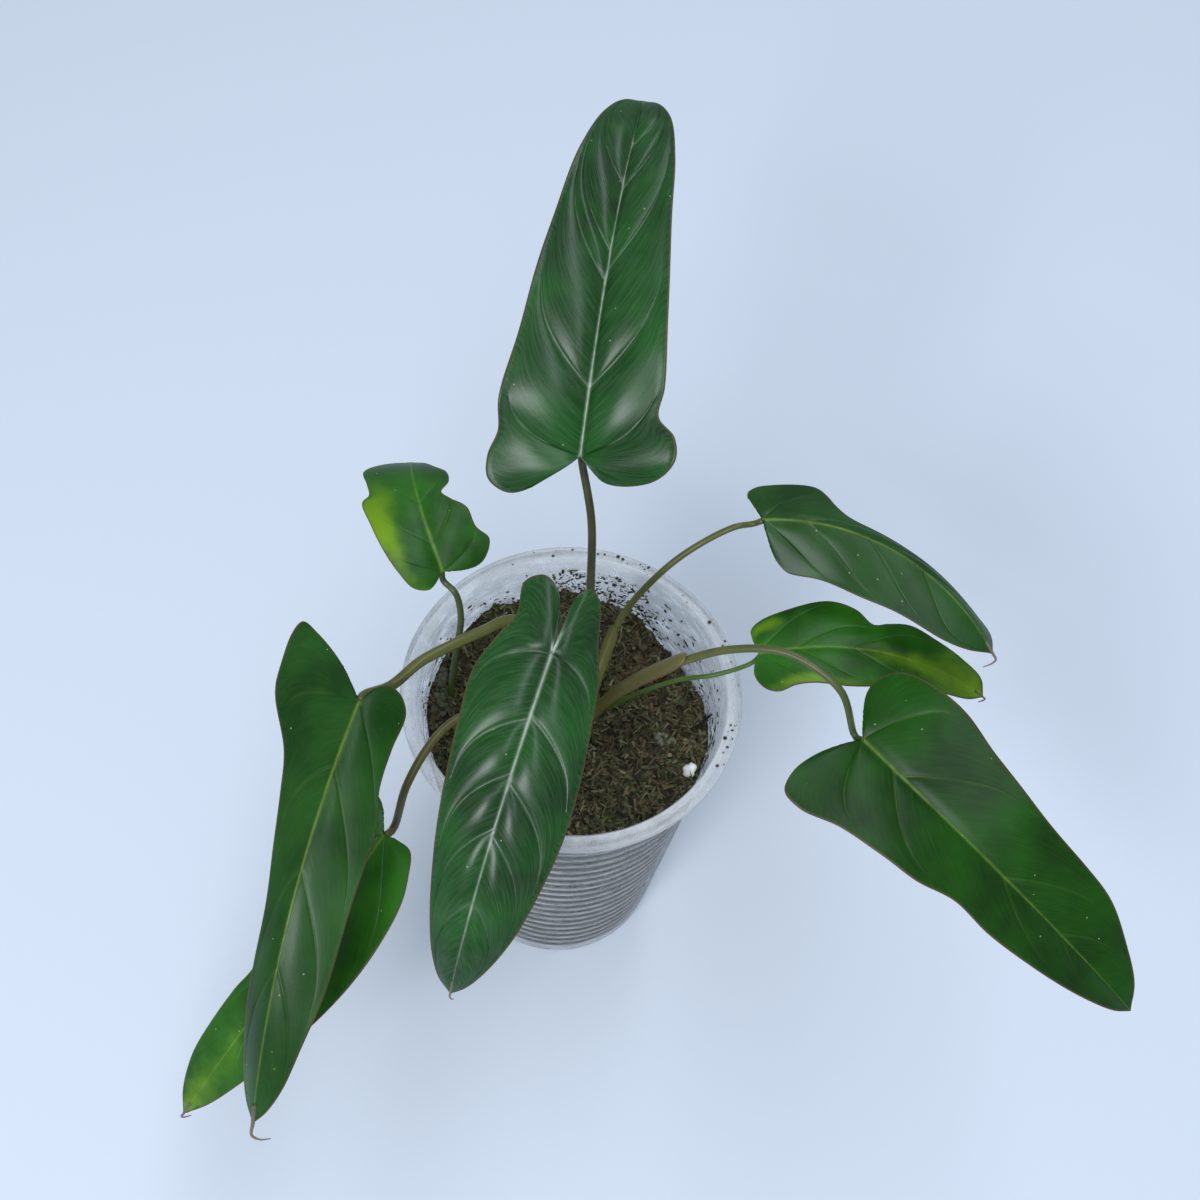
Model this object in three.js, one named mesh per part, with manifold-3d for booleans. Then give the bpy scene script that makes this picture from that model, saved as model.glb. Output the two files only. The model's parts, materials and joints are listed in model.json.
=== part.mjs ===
import * as THREE from 'three';
import { mergeVertices } from 'three/addons/utils/BufferGeometryUtils.js';
import Module from 'manifold-3d';

// A young philodendron with long eared leaves in a clear ribbed cup.
// Millimetres, +Z up, origin at the middle of the cup's underside.
// +Y is the back, where the tall leaf stands; the front leaf hangs towards -Y.

const wasm = await Module();
wasm.setup();

// Cup
const cupHeight = 125;
const baseRadius = 32;
const baseCorner = 0.8;
const wallTopRadius = 43.4;
const wallThickness = 0.9;
const floorThickness = 1.2;
const rimRadius = 47.5;
const rimInnerRadius = 43.7;
const rimThickness = 1.2;
const skirtDepth = 3.4;
const skirtThickness = 0.8;
const rimEdge = 0.6;
const lipDepth = 2.5;
const ribCount = 18;
const ribStart = 9;
const ribPitch = 5.57;
const ribDepth = 0.35;
const cupSides = 40;

// Soil
const fitGap = 0.3;
const soilLevel = 107;
const soilBottom = floorThickness + fitGap;
const soilSides = 32;
const soilRings = 8;
const soilLump = 1.1;
const soilCalmRadius = 8;
const crownHollow = 2.5;
const backDip = 6;
const backDipAzimuth = 38;
const backDipStart = 14;
const backDipSpan = 26;
const backDipSharpness = 14;
const leftRise = 4;
const backRise = 3.5;
const riseSpan = 40;
const broadLumpRates = [0.31, 0.27];
const broadLumpShift = 1.2;
const smallLumpRates = [0.17, 0.41];
const smallLumpShare = 0.7;
const holeSides = 20;

// Stem, in a hole of its own in the soil
const crownPlace = [1, 0];
const crownFoot = 84;
const crownRadius = 4.8;
const crownTop = 118;
const crownSides = 16;
const crownTaper = 1.6;
const crownScarHeight = 106.5;
const crownScarHalf = 2.5;
const crownScarDepth = 0.8;
const seedlingPlace = [-34.5, 2];
const seedlingFoot = 90;
const seedlingRadius = 1.1;

// Blades
const bladeThickness = 0.8;
const midribSteps = 60;
const bladeRows = 22;
const bladeColumns = [0, 0.3, 0.66, 1];
const ribEdge = 1.4;
const ribEdgeShares = [0.07, 0.35];
const ribSwell = 0.9;
const ribHalfWidth = 1.6;
const earShare = 0.3;
const rowPacking = 1.12;
const curlSpan = 20;
const waveRate = 0.19;
const waveShift = 2;
const petioleSides = 8;
const petioleStep = 6;
const kneeDrop = 3;
const kneeBack = 2.8;
const kneeSteps = 4;
const seatTilt = 0.55;
const sheathNarrowing = 0.5;

const colours = {
  cup: 0xdfe5e6,
  soil: 0x3a3528,
  petiole: 0x6b6a36,
  seedling: 0x4c5a2c,
  deepLeaf: 0x1f4d24,
  youngLeaf: 0x3d7a1c,
};

// Each leaf: where its petiole meets the blade, which way it heads (degrees from +X),
// how steeply it rises there, how far it has turned down and sideways by the tip,
// how each half folds and curls, and its outline.
// An outline lists points along and across the blade, from the notch to just short of the tip.
const leaves = {
  leaf_back: {
    joint: [-4, 36, 184], heading: 88, rise: 50, droop: 60, swing: -3, roll: -8, twist: 5,
    length: 106, fold: [12, 12], curl: [0, 0], wave: 0.7, colour: 'deepLeaf',
    left: [[-1, -2], [-6, -7.5], [-11, -13], [-12, -18], [-9, -23.2], [-3, -24], [4, -21.8],
      [12, -22.4], [30, -19.8], [58, -16.3], [82, -13], [97, -9.3], [104, -5]],
    right: [[-2, 2.4], [-5.5, 7], [-5.5, 13], [-2, 21.5], [4, 25.8], [9, 24.6], [13, 19.6],
      [20, 20], [38, 18], [62, 14.8], [82, 12.5], [97, 9], [104, 4.5]],
  },
  leaf_front: {
    joint: [-5, -23, 184], heading: -102, rise: -10, droop: 56, swing: -3, roll: -10, twist: 15,
    length: 91, fold: [-8, -8], curl: [10, 10], wave: 0.5, colour: 'deepLeaf',
    left: [[-3, -0.8], [-10, -1.2], [-16, -1.4], [-19, -4], [-16.5, -7.2], [-7, -10], [3, -13.4],
      [14, -15], [28, -16.4], [42, -16.4], [56, -14.6], [70, -11.4], [82, -6.6], [88, -3]],
    right: [[-3, 0.8], [-10, 1.4], [-15.5, 3.4], [-18.5, 7.8], [-15.5, 12], [-7, 11.2], [0, 14],
      [9, 16.8], [21, 16.4], [38, 15], [54, 13], [70, 10.2], [82, 7], [88, 4]],
  },
  leaf_left: {
    joint: [-52, -28, 158], heading: -103, rise: -10, droop: 43, swing: 8, roll: -5, twist: 32,
    length: 111, fold: [-22, -22], curl: [0, 0], wave: 0.5, colour: 'deepLeaf',
    left: [[-1.5, -0.8], [-5.5, -3], [-7, -6], [-6, -9.4], [-2, -12.4], [8, -12.2], [19, -12.6],
      [29, -14.8], [44, -14.4], [62, -13.5], [73.5, -12.4], [87, -9.6], [99.5, -6.4], [107, -3]],
    right: [[-2.5, 3], [-9.5, 10], [-15.5, 19.5], [-17.6, 25], [-14, 26.6], [-5, 26], [3, 24],
      [16.5, 16], [26.5, 13.4], [40, 10.8], [54, 8.8], [70, 8.8], [83.5, 9], [100, 7], [107, 4.4]],
  },
  leaf_left_lower: {
    joint: [-45, -47, 120], heading: -119, rise: -16, droop: 36, swing: -16, roll: 0, twist: 0,
    length: 98, fold: [4, 4], curl: [0, 0], wave: 0.6, colour: 'youngLeaf',
    left: [[-1, -3], [-0.6, -8.4], [5, -12.2], [11.5, -15], [20, -16.6], [29.5, -17], [45.5, -15.5],
      [60, -12.5], [75, -8.6], [88, -4.6]],
    right: [[-1.6, 2], [-7, 6], [-8, 12], [-3, 15], [6, 14], [18, 12], [34, 9.6], [49, 7.8],
      [57, 8.6], [70, 8.6], [81.5, 7.6], [92, 4.2]],
  },
  leaf_right_back: {
    joint: [46.5, 38.7, 161], heading: 2.6, rise: 11.6, droop: 37.9, swing: -54.6, roll: 16.5, twist: -29.2,
    length: 74.7, fold: [-30, -26], curl: [0, 0], wave: 0.4, colour: 'deepLeaf',
    left: [[-0.6, -4.6], [-2.2, -7.2], [-5, -9.6], [-4, -11.6], [-2, -13.2], [0.4, -13.8], [11.6, -16],
      [13.6, -15.4], [16, -13], [18.6, -9.6], [23, -6.2], [36, -4.8], [49.4, -4.8], [64, -5],
      [70.6, -6]],
    right: [[0.4, 3], [3, 10.4], [5, 12.8], [8, 14.6], [19.2, 14.8], [34.4, 15.4], [47, 13.4],
      [63.2, 9.8], [70.4, 5.4]],
  },
  leaf_right_small: {
    joint: [49.5, 9, 140], heading: 11, rise: 18, droop: 52, swing: -24, roll: -8, twist: 24,
    length: 67, fold: [3, 3], curl: [0, 0], wave: 0.9, colour: 'youngLeaf',
    left: [[-0.4, -3.4], [-1.4, -7.6], [1.6, -10.4], [10, -12.6], [20, -13.8], [26.6, -11.6],
      [31, -7.8], [35, -8.8], [40.5, -9.8], [48, -8], [57, -6], [64, -4]],
    right: [[-1.4, 2.4], [-2, 7.4], [0.4, 12.2], [4, 14], [9, 12.4], [14, 11.8], [24, 12],
      [34, 10.4], [44, 7], [55, 5.4], [63, 3]],
  },
  leaf_right_front: {
    joint: [76, -19, 150], heading: -44, rise: 1, droop: 42, swing: 20, roll: 14, twist: -6,
    length: 101, fold: [13, 13], curl: [0, 0], wave: 0.6, colour: 'deepLeaf',
    left: [[-3, -3], [-7.6, -9], [-8.2, -14], [-5, -19.4], [2, -21.9], [14, -23], [27, -20.6],
      [44, -18], [62, -16.8], [74, -15.2], [86, -10.8], [96, -5.6]],
    right: [[-2, 4], [-4.6, 12], [-5, 20], [-2.4, 25.8], [3, 26.2], [12, 22], [24, 19.6],
      [33, 18.2], [43, 14.6], [54, 14.8], [66, 13], [82, 9], [95, 4]],
  },
  leaf_seedling: {
    joint: [-38, 18, 150], heading: 122, rise: 36, droop: 84, swing: -22, roll: 0, twist: 0,
    length: 45, fold: [2, 2], curl: [6, 6], wave: 0.5, colour: 'deepLeaf',
    left: [[-1, -2], [-3.4, -5], [-1.6, -9], [4, -11.6], [10, -13.2], [18, -14.4], [24.4, -15],
      [26.4, -12.8], [31, -12.8], [37, -13.2], [42, -8]],
    right: [[-0.8, 2], [-2, 9], [-0.4, 12.6], [4.4, 15.2], [9, 12.8], [16, 12], [20, 8.4], [23, 6.6],
      [27, 9.4], [32, 9.4], [37, 6.4], [42, 3.6]],
  },
};

// Each petiole of the main plant: points it passes, its radius at the foot and at the blade,
// how wide the clasping sheath at its foot is and how far up it reaches.
const petioles = {
  leaf_back: {
    through: [[3, 3, 109], [3, 12, 128], [2, 20, 149], [0.4, 28.5, 167]],
    radius: [1.35, 1], sheathWidth: 2.8, sheathReach: 0.4,
  },
  leaf_front: {
    through: [[0, -1, 110], [-4, 1, 138], [-6, 0, 165], [-6.2, -10.5, 178]],
    radius: [1.7, 1.2], sheathWidth: 3.2, sheathReach: 0.35,
  },
  leaf_left: {
    through: [[-1, 0, 110], [-9, 8, 132], [-17.3, 9.4, 143], [-25.8, 2, 147], [-32.8, -4.2, 149],
      [-39.8, -10.2, 149.5], [-46, -17, 148]],
    radius: [1.65, 1.4], sheathWidth: 2.8, sheathReach: 0.25,
  },
  leaf_left_lower: {
    through: [[-1, -2, 110], [-12, -7, 124], [-22, -12, 131], [-30, -17.6, 133], [-35.5, -25.6, 133],
      [-40.2, -36, 129]],
    radius: [1.35, 1.1], sheathWidth: 2.4, sheathReach: 0.3,
  },
  leaf_right_back: {
    through: [[4, 1, 110], [7, 11, 120], [11.7, 22.2, 130.0], [21.9, 29.7, 145.0], [30.6, 34.8, 151.5],
      [39.4, 37.6, 157.5]],
    radius: [1.15, 0.85], sheathWidth: 2.4, sheathReach: 0.3,
  },
  leaf_right_small: {
    through: [[5, -1, 109.5], [16, 2, 120], [29, 4.8, 128], [39, 5, 133]],
    radius: [0.8, 0.7], sheathWidth: 1.2, sheathReach: 0.2,
  },
  leaf_right_front: {
    through: [[5, -2, 110], [13, -1.5, 129], [24, -0.3, 142.5], [40, 0.6, 154.5], [55, -2, 160],
      [68.6, -9.6, 157.6]],
    radius: [1.45, 1], sheathWidth: 3.2, sheathReach: 0.42,
  },
};
const seedlingPetiole = {
  through: [[-34.5, 2, seedlingFoot], [-34.4, 2.4, 112], [-33.4, 8, 125], [-32.6, 12.6, 136],
    [-34.4, 15.4, 144]],
  radius: [seedlingRadius, 0.9], sheathWidth: 1.5, sheathReach: 0.6,
};

const mergeReach = 1e-3;
const sliverSize = 0.03;
const radians = THREE.MathUtils.degToRad;
const lerp = THREE.MathUtils.lerp;
const clamp = THREE.MathUtils.clamp;
const vector = (p) => new THREE.Vector3(p[0], p[1], p[2]);

// Geometry from loose triangles, with shared corners merged and flat slivers left out
function geometryFromTriangles(triangles) {
  const positions = triangles.flat().flatMap((p) => [p.x, p.y, p.z]);
  const geometry = new THREE.BufferGeometry();
  geometry.setAttribute('position', new THREE.Float32BufferAttribute(positions, 3));
  return mergeVertices(geometry, mergeReach);
}

function addTriangle(triangles, a, b, c) {
  const tiny = 1e-6;
  const area = b.clone().sub(a).cross(c.clone().sub(a)).length();
  if (area > tiny) triangles.push([a, b, c]);
}

function addQuad(triangles, a, b, c, d) {
  addTriangle(triangles, a, b, c);
  addTriangle(triangles, a, c, d);
}

// Solids for joining and cutting
function toSolid(geometry) {
  const bare = geometry.clone();
  bare.deleteAttribute('normal');
  bare.deleteAttribute('uv');
  const merged = mergeVertices(bare, mergeReach);
  return new wasm.Manifold(new wasm.Mesh({
    numProp: 3,
    vertProperties: new Float32Array(merged.attributes.position.array),
    triVerts: new Uint32Array(merged.index.array),
  }));
}

function fromSolid(solid) {
  const mesh = solid.getMesh();
  const geometry = new THREE.BufferGeometry();
  geometry.setAttribute('position', new THREE.Float32BufferAttribute(mesh.vertProperties, 3));
  geometry.setIndex(new THREE.Uint32BufferAttribute(mesh.triVerts, 1));
  return geometry;
}

// Lathed profile of [radius, height] points, turned about +Z
function lathe(profile, sides) {
  const points = profile.map(([radius, height]) => new THREE.Vector2(radius, height));
  return new THREE.LatheGeometry(points, sides).rotateX(Math.PI / 2);
}

// The cup's wall leans out evenly from the base to the rim
function wallRadius(height) {
  return lerp(baseRadius, wallTopRadius, height / cupHeight);
}

function makeCup() {
  const flangeUnder = cupHeight - rimThickness;
  const skirtFoot = cupHeight - skirtDepth;
  const outside = [[0, 0], [baseRadius - baseCorner, 0], [baseRadius, baseCorner]];
  for (let rib = 0; rib < ribCount; rib += 1) {
    const valley = ribStart + rib * ribPitch;
    const crest = valley + ribPitch / 2;
    outside.push([wallRadius(valley) - ribDepth, valley]);
    outside.push([wallRadius(crest), crest]);
  }
  const wallEnd = ribStart + ribCount * ribPitch;
  outside.push([wallRadius(wallEnd) - ribDepth, wallEnd]);
  outside.push([wallRadius(flangeUnder), flangeUnder]);
  const rim = [
    [rimRadius - skirtThickness, flangeUnder],
    [rimRadius - skirtThickness, skirtFoot],
    [rimRadius - rimEdge / 3, skirtFoot],
    [rimRadius, cupHeight - rimEdge],
    [rimRadius - rimEdge, cupHeight],
    [rimInnerRadius, cupHeight],
  ];
  const insideTop = flangeUnder - lipDepth;
  const insideWall = wallThickness + ribDepth;
  const inside = [
    [wallRadius(insideTop) - insideWall, insideTop],
    [wallRadius(floorThickness) - insideWall, floorThickness],
    [0, floorThickness],
  ];
  return lathe([...outside, ...rim, ...inside], cupSides);
}

// Height of the soil: lumpy, higher at the left, sunk at the back right where the wall shows
function soilHeight(x, y) {
  const radius = Math.hypot(x, y);
  const reach = clamp((radius - backDipStart) / backDipSpan, 0, 1);
  const azimuth = Math.atan2(y, x);
  const towardsDip = Math.max(0, Math.cos(azimuth - radians(backDipAzimuth)));
  const dip = backDip * towardsDip ** backDipSharpness * reach ** 2;
  const leftShare = clamp(-x / riseSpan, 0, 1);
  const backShare = clamp(y / riseSpan, 0, 1) * clamp(1 - x / riseSpan, 0, 1);
  const rise = leftRise * leftShare + backRise * backShare;
  const broadLumps = Math.sin(x * broadLumpRates[0] + broadLumpShift) * Math.cos(y * broadLumpRates[1]);
  const smallLumps = smallLumpShare * Math.sin(x * smallLumpRates[0] - y * smallLumpRates[1]);
  const calm = clamp(radius / soilCalmRadius - 1, 0, 1);
  return soilLevel - crownHollow * (1 - calm) + rise - dip + soilLump * (broadLumps + smallLumps) * calm;
}

function makeSoil() {
  const sideRadius = (height) => wallRadius(height) - wallThickness - ribDepth - fitGap;
  const ringPoint = (ring, side) => {
    const azimuth = (2 * Math.PI * side) / soilSides;
    const outward = new THREE.Vector2(Math.cos(azimuth), Math.sin(azimuth));
    const atWall = outward.clone().multiplyScalar(sideRadius(soilLevel - backDip));
    const edgeHeight = soilHeight(atWall.x, atWall.y);
    const radius = (sideRadius(edgeHeight) * ring) / soilRings;
    return new THREE.Vector3(outward.x * radius, outward.y * radius,
      ring === soilRings ? edgeHeight : soilHeight(outward.x * radius, outward.y * radius));
  };
  const footPoint = (side) => {
    const azimuth = (2 * Math.PI * side) / soilSides;
    const radius = sideRadius(soilBottom);
    return new THREE.Vector3(radius * Math.cos(azimuth), radius * Math.sin(azimuth), soilBottom);
  };
  const footMiddle = new THREE.Vector3(0, 0, soilBottom);
  const triangles = [];
  for (let side = 0; side < soilSides; side += 1) {
    const next = (side + 1) % soilSides;
    for (let ring = 0; ring < soilRings; ring += 1) {
      addQuad(triangles, ringPoint(ring, side), ringPoint(ring + 1, side),
        ringPoint(ring + 1, next), ringPoint(ring, next));
    }
    addQuad(triangles, ringPoint(soilRings, side), footPoint(side),
      footPoint(next), ringPoint(soilRings, next));
    addTriangle(triangles, footMiddle, footPoint(next), footPoint(side));
  }
  const hole = (place, radius, foot) => lathe(
    [[0, foot], [radius, foot], [radius, cupHeight], [0, cupHeight]], holeSides,
  ).translate(place[0], place[1], 0);
  const soil = toSolid(geometryFromTriangles(triangles));
  const crownHole = toSolid(hole(crownPlace, crownRadius + fitGap, crownFoot - fitGap));
  const seedlingHoleRadius = seedlingPetiole.sheathWidth + fitGap;
  const seedlingHole = toSolid(hole(seedlingPlace, seedlingHoleRadius, seedlingFoot - fitGap));
  return fromSolid(soil.subtract(crownHole).subtract(seedlingHole));
}

// How a leaf hangs: its midrib as a list of places, each with its direction,
// the side to the right of travel and the upward normal
function hangMidrib(leaf) {
  const places = [];
  const point = vector(leaf.joint);
  let before = null;
  for (let step = 0; step <= midribSteps; step += 1) {
    const share = step / midribSteps;
    const rise = radians(leaf.rise - leaf.droop * share);
    const heading = radians(leaf.heading + leaf.swing * share);
    const roll = radians(leaf.roll + leaf.twist * share);
    const along = new THREE.Vector3(
      Math.cos(rise) * Math.cos(heading), Math.cos(rise) * Math.sin(heading), Math.sin(rise));
    const level = new THREE.Vector3(Math.sin(heading), -Math.cos(heading), 0);
    const up = level.clone().cross(along);
    const side = level.clone().multiplyScalar(Math.cos(roll)).addScaledVector(up, -Math.sin(roll));
    const normal = up.clone().multiplyScalar(Math.cos(roll)).addScaledVector(level, Math.sin(roll));
    if (before) {
      const middle = before.clone().add(along).multiplyScalar(0.5);
      point.addScaledVector(middle, leaf.length / midribSteps);
    }
    before = along;
    places.push({ point: point.clone(), along, side, normal });
  }
  return places;
}

function midribAt(places, leaf, along) {
  const last = places.length - 1;
  const at = clamp(along / leaf.length, 0, 1) * last;
  const low = Math.min(Math.floor(at), last - 1);
  const share = at - low;
  const mix = (key) => places[low][key].clone().lerp(places[low + 1][key], share);
  const frame = { point: mix('point'), along: mix('along'), side: mix('side'), normal: mix('normal') };
  if (along < 0) frame.point.addScaledVector(frame.along, along);
  return frame;
}

// A spot of the flat blade, hung in the air. Each half starts at its fold angle and curls down.
function hangSpot(places, leaf, along, across) {
  const frame = midribAt(places, leaf, along);
  const half = across > 0 ? 1 : 0;
  const reach = Math.abs(across);
  const fold = radians(leaf.fold[half]);
  const turned = (radians(leaf.curl[half]) * reach) / curlSpan;
  const mean = fold - turned / 2;
  const chord = turned === 0 ? reach : (reach * Math.sin(turned / 2)) / (turned / 2);
  const ripple = Math.sin(along * waveRate + half * waveShift + leaf.length);
  const waving = leaf.wave * (reach / curlSpan) ** 2 * ripple;
  return frame.point
    .addScaledVector(frame.side, Math.sign(across) * chord * Math.cos(mean))
    .addScaledVector(frame.normal, chord * Math.sin(mean) + waving);
}

function hangNormal(places, leaf, along, across) {
  if (across === 0) return midribAt(places, leaf, along).normal.normalize();
  const small = 0.2;
  const inner = Math.sign(across) * Math.max(Math.abs(across) - small, small / 2);
  const forward = hangSpot(places, leaf, along + small, across).sub(hangSpot(places, leaf, along, across));
  const sideways = hangSpot(places, leaf, along, across).sub(hangSpot(places, leaf, along, inner));
  return sideways.multiplyScalar(Math.sign(across)).cross(forward).normalize();
}

// The margin of one half as evenly spaced spots of the flat blade
function marginSpots(outline, length) {
  const points = [...outline, [length, 0]].map(([x, y]) => new THREE.Vector3(x, y, 0));
  return new THREE.CatmullRomCurve3(points, false, 'centripetal').getSpacedPoints(bladeRows);
}

// Where a row starts on the midrib: the ears' rows all fan out from the petiole
function rowStart(row, length) {
  const share = row / bladeRows;
  return share <= earShare ? 0 : length * ((share - earShare) / (1 - earShare)) ** rowPacking;
}

// How far out a column stands: on the midrib, at the edge of its swelling, then spread to the margin
function columnShare(column, start, marginSpot) {
  if (column === 0) return 0;
  const reach = Math.hypot(marginSpot.x - start, marginSpot.y);
  const ribShare = clamp(ribEdge / reach, ribEdgeShares[0], ribEdgeShares[1]);
  return lerp(ribShare, 1, bladeColumns[column - 1]);
}

// A blade: top and underside of the same triangles, joined round the margin,
// with the midrib swelling the underside
function makeBlade(leaf, thickness, swell) {
  const places = hangMidrib(leaf);
  const halves = [
    { sign: -1, margin: marginSpots(leaf.left, leaf.length) },
    { sign: 1, margin: marginSpots(leaf.right, leaf.length) },
  ];
  const triangles = [];
  for (const half of halves) {
    const corner = (row, column, upper) => {
      const start = rowStart(row, leaf.length);
      const share = row === bladeRows ? 0 : columnShare(column, start, half.margin[row]);
      const along = lerp(start, half.margin[row].x, share);
      const across = half.margin[row].y * share;
      const fullness = 1 - row / bladeRows;
      const under = thickness / 2 + swell * fullness * Math.exp(-((across / ribHalfWidth) ** 2));
      const spot = hangSpot(places, leaf, along, across);
      const normal = hangNormal(places, leaf, along, across);
      return spot.addScaledVector(normal, upper ? thickness / 2 : -under);
    };
    const quad = (a, b, c, d) => {
      if (half.sign > 0) addQuad(triangles, a, b, c, d);
      else addQuad(triangles, a, d, c, b);
    };
    const rim = bladeColumns.length;
    for (let row = 0; row < bladeRows; row += 1) {
      for (let column = 0; column < rim; column += 1) {
        quad(corner(row, column, true), corner(row, column + 1, true),
          corner(row + 1, column + 1, true), corner(row + 1, column, true));
        const under = [corner(row, column, false), corner(row, column + 1, false),
          corner(row + 1, column + 1, false), corner(row + 1, column, false)];
        if (half.sign > 0) {
          addTriangle(triangles, under[0], under[2], under[1]);
          addTriangle(triangles, under[0], under[3], under[2]);
        } else {
          addTriangle(triangles, under[0], under[2], under[3]);
          addTriangle(triangles, under[0], under[1], under[2]);
        }
      }
      quad(corner(row, rim, true), corner(row, rim, false),
        corner(row + 1, rim, false), corner(row + 1, rim, true));
    }
    for (let column = 0; column < rim; column += 1) {
      quad(corner(0, column + 1, true), corner(0, column, true), corner(0, column, false),
        corner(0, column + 1, false));
    }
  }
  return geometryFromTriangles(triangles);
}

// The points of a petiole, ending square under the blade's foot with a short knee before it
function petiolePath(petiole, leaf) {
  const [seat] = hangMidrib(leaf);
  const sag = Math.max(seatTilt, ...leaf.fold.map((fold) => Math.sin(radians(-fold))));
  const depth = bladeThickness / 2 + ribSwell + fitGap + petiole.radius[1] * sag;
  const end = seat.point.clone().addScaledVector(seat.normal, -depth);
  const knee = end.clone()
    .addScaledVector(seat.normal, -kneeDrop)
    .addScaledVector(seat.along, -kneeBack);
  return [...petiole.through.map(vector), knee, end];
}

// A petiole: an oval section swept along a curve, wide where its sheath clasps the stem
function makePetiole(petiole, leaf) {
  const path = petiolePath(petiole, leaf);
  const curve = new THREE.CatmullRomCurve3(path, false, 'centripetal');
  const straightShare = 1 - (2 * Math.hypot(kneeDrop, kneeBack)) / curve.getLength();
  const straightSteps = Math.ceil(curve.getLength() / petioleStep);
  const shares = [];
  for (let step = 0; step < straightSteps; step += 1) shares.push((straightShare * step) / straightSteps);
  for (let step = 0; step <= kneeSteps; step += 1) shares.push(lerp(straightShare, 1, step / kneeSteps));
  const last = shares.length - 1;
  const level = new THREE.Vector3(path.at(-1).y - path[0].y, path[0].x - path.at(-1).x, 0).normalize();
  const rings = shares.map((share) => {
    const centre = curve.getPointAt(share);
    const tangent = curve.getTangentAt(share);
    const side = level.clone().addScaledVector(tangent, -level.dot(tangent)).normalize();
    const normal = side.clone().cross(tangent);
    const radius = lerp(petiole.radius[0], petiole.radius[1], share);
    const upSheath = share / petiole.sheathReach;
    const sheath = upSheath < 1 ? 1 - sheathNarrowing * upSheath : 0;
    const halfWidth = Math.max(radius, petiole.sheathWidth * sheath);
    const ring = [];
    for (let turn = 0; turn < petioleSides; turn += 1) {
      const angle = (2 * Math.PI * turn) / petioleSides;
      ring.push(centre.clone()
        .addScaledVector(side, halfWidth * Math.cos(angle))
        .addScaledVector(normal, radius * Math.sin(angle)));
    }
    return { centre, ring };
  });
  const triangles = [];
  for (let turn = 0; turn < petioleSides; turn += 1) {
    const next = (turn + 1) % petioleSides;
    for (let step = 0; step < last; step += 1) {
      addQuad(triangles, rings[step].ring[turn], rings[step + 1].ring[turn],
        rings[step + 1].ring[next], rings[step].ring[next]);
    }
    addTriangle(triangles, rings[0].centre, rings[0].ring[turn], rings[0].ring[next]);
    addTriangle(triangles, rings[last].centre, rings[last].ring[next], rings[last].ring[turn]);
  }
  return geometryFromTriangles(triangles);
}

// The short stem with its old nodes, and the petioles that grow from it
function makeStem() {
  const profile = [
    [0, crownFoot],
    [crownRadius - crownTaper, crownFoot],
    [crownRadius, crownFoot + 2 * crownTaper],
    [crownRadius, crownScarHeight - crownScarHalf],
    [crownRadius - crownScarDepth, crownScarHeight],
    [crownRadius, crownScarHeight + crownScarHalf],
    [crownRadius - crownTaper, crownTop - crownTaper],
    [0, crownTop],
  ];
  let stem = toSolid(lathe(profile, crownSides).translate(crownPlace[0], crownPlace[1], 0));
  for (const [name, petiole] of Object.entries(petioles)) {
    stem = stem.add(toSolid(makePetiole(petiole, leaves[name])));
  }
  return fromSolid(stem.simplify(sliverSize));
}

function addPiece(group, name, geometry, colour, roughness) {
  geometry.computeVertexNormals();
  const material = new THREE.MeshStandardMaterial({ color: colours[colour], roughness, metalness: 0 });
  const mesh = new THREE.Mesh(geometry, material);
  mesh.name = name;
  group.add(mesh);
}

const plant = new THREE.Group();
addPiece(plant, 'cup', makeCup(), 'cup', 0.15);
addPiece(plant, 'soil', makeSoil(), 'soil', 0.95);
addPiece(plant, 'stem', makeStem(), 'petiole', 0.45);
addPiece(plant, 'seedling_stem', makePetiole(seedlingPetiole, leaves.leaf_seedling), 'seedling', 0.45);
for (const [name, leaf] of Object.entries(leaves)) {
  addPiece(plant, name, makeBlade(leaf, bladeThickness, ribSwell), leaf.colour, 0.3);
}

export default plant;
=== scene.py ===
import json
import math
import random

import bmesh
import bpy
from mathutils import Matrix, Vector, noise

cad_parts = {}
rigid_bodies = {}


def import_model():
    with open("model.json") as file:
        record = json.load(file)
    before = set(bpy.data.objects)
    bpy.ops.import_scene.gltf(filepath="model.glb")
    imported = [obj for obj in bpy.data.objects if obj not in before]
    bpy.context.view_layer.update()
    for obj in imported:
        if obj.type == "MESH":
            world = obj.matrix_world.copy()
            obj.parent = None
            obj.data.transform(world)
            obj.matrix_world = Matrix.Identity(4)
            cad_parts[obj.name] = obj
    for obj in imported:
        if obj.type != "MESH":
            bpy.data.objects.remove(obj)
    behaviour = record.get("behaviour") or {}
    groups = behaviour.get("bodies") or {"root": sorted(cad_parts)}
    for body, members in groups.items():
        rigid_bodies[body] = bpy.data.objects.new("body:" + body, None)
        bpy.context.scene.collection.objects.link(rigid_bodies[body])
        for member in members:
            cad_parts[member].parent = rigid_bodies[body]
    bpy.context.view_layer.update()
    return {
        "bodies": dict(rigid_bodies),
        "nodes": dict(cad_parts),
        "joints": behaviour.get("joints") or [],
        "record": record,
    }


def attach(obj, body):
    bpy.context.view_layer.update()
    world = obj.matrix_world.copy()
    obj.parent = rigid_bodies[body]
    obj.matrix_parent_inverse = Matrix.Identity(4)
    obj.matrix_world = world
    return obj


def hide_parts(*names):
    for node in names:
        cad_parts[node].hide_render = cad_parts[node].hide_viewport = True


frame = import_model()
print("frame loaded with", len(frame["nodes"]), "nodes")

mm = 0.001
fullTurn = 2 * math.pi


# colours are written as sRGB hex and turned to linear here
def linear(hexColour, alpha=1.0):
    channels = [int(hexColour[i:i + 2], 16) / 255 for i in (1, 3, 5)]
    return [c / 12.92 if c <= 0.04045 else ((c + 0.055) / 1.055) ** 2.4 for c in channels] + [alpha]


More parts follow.
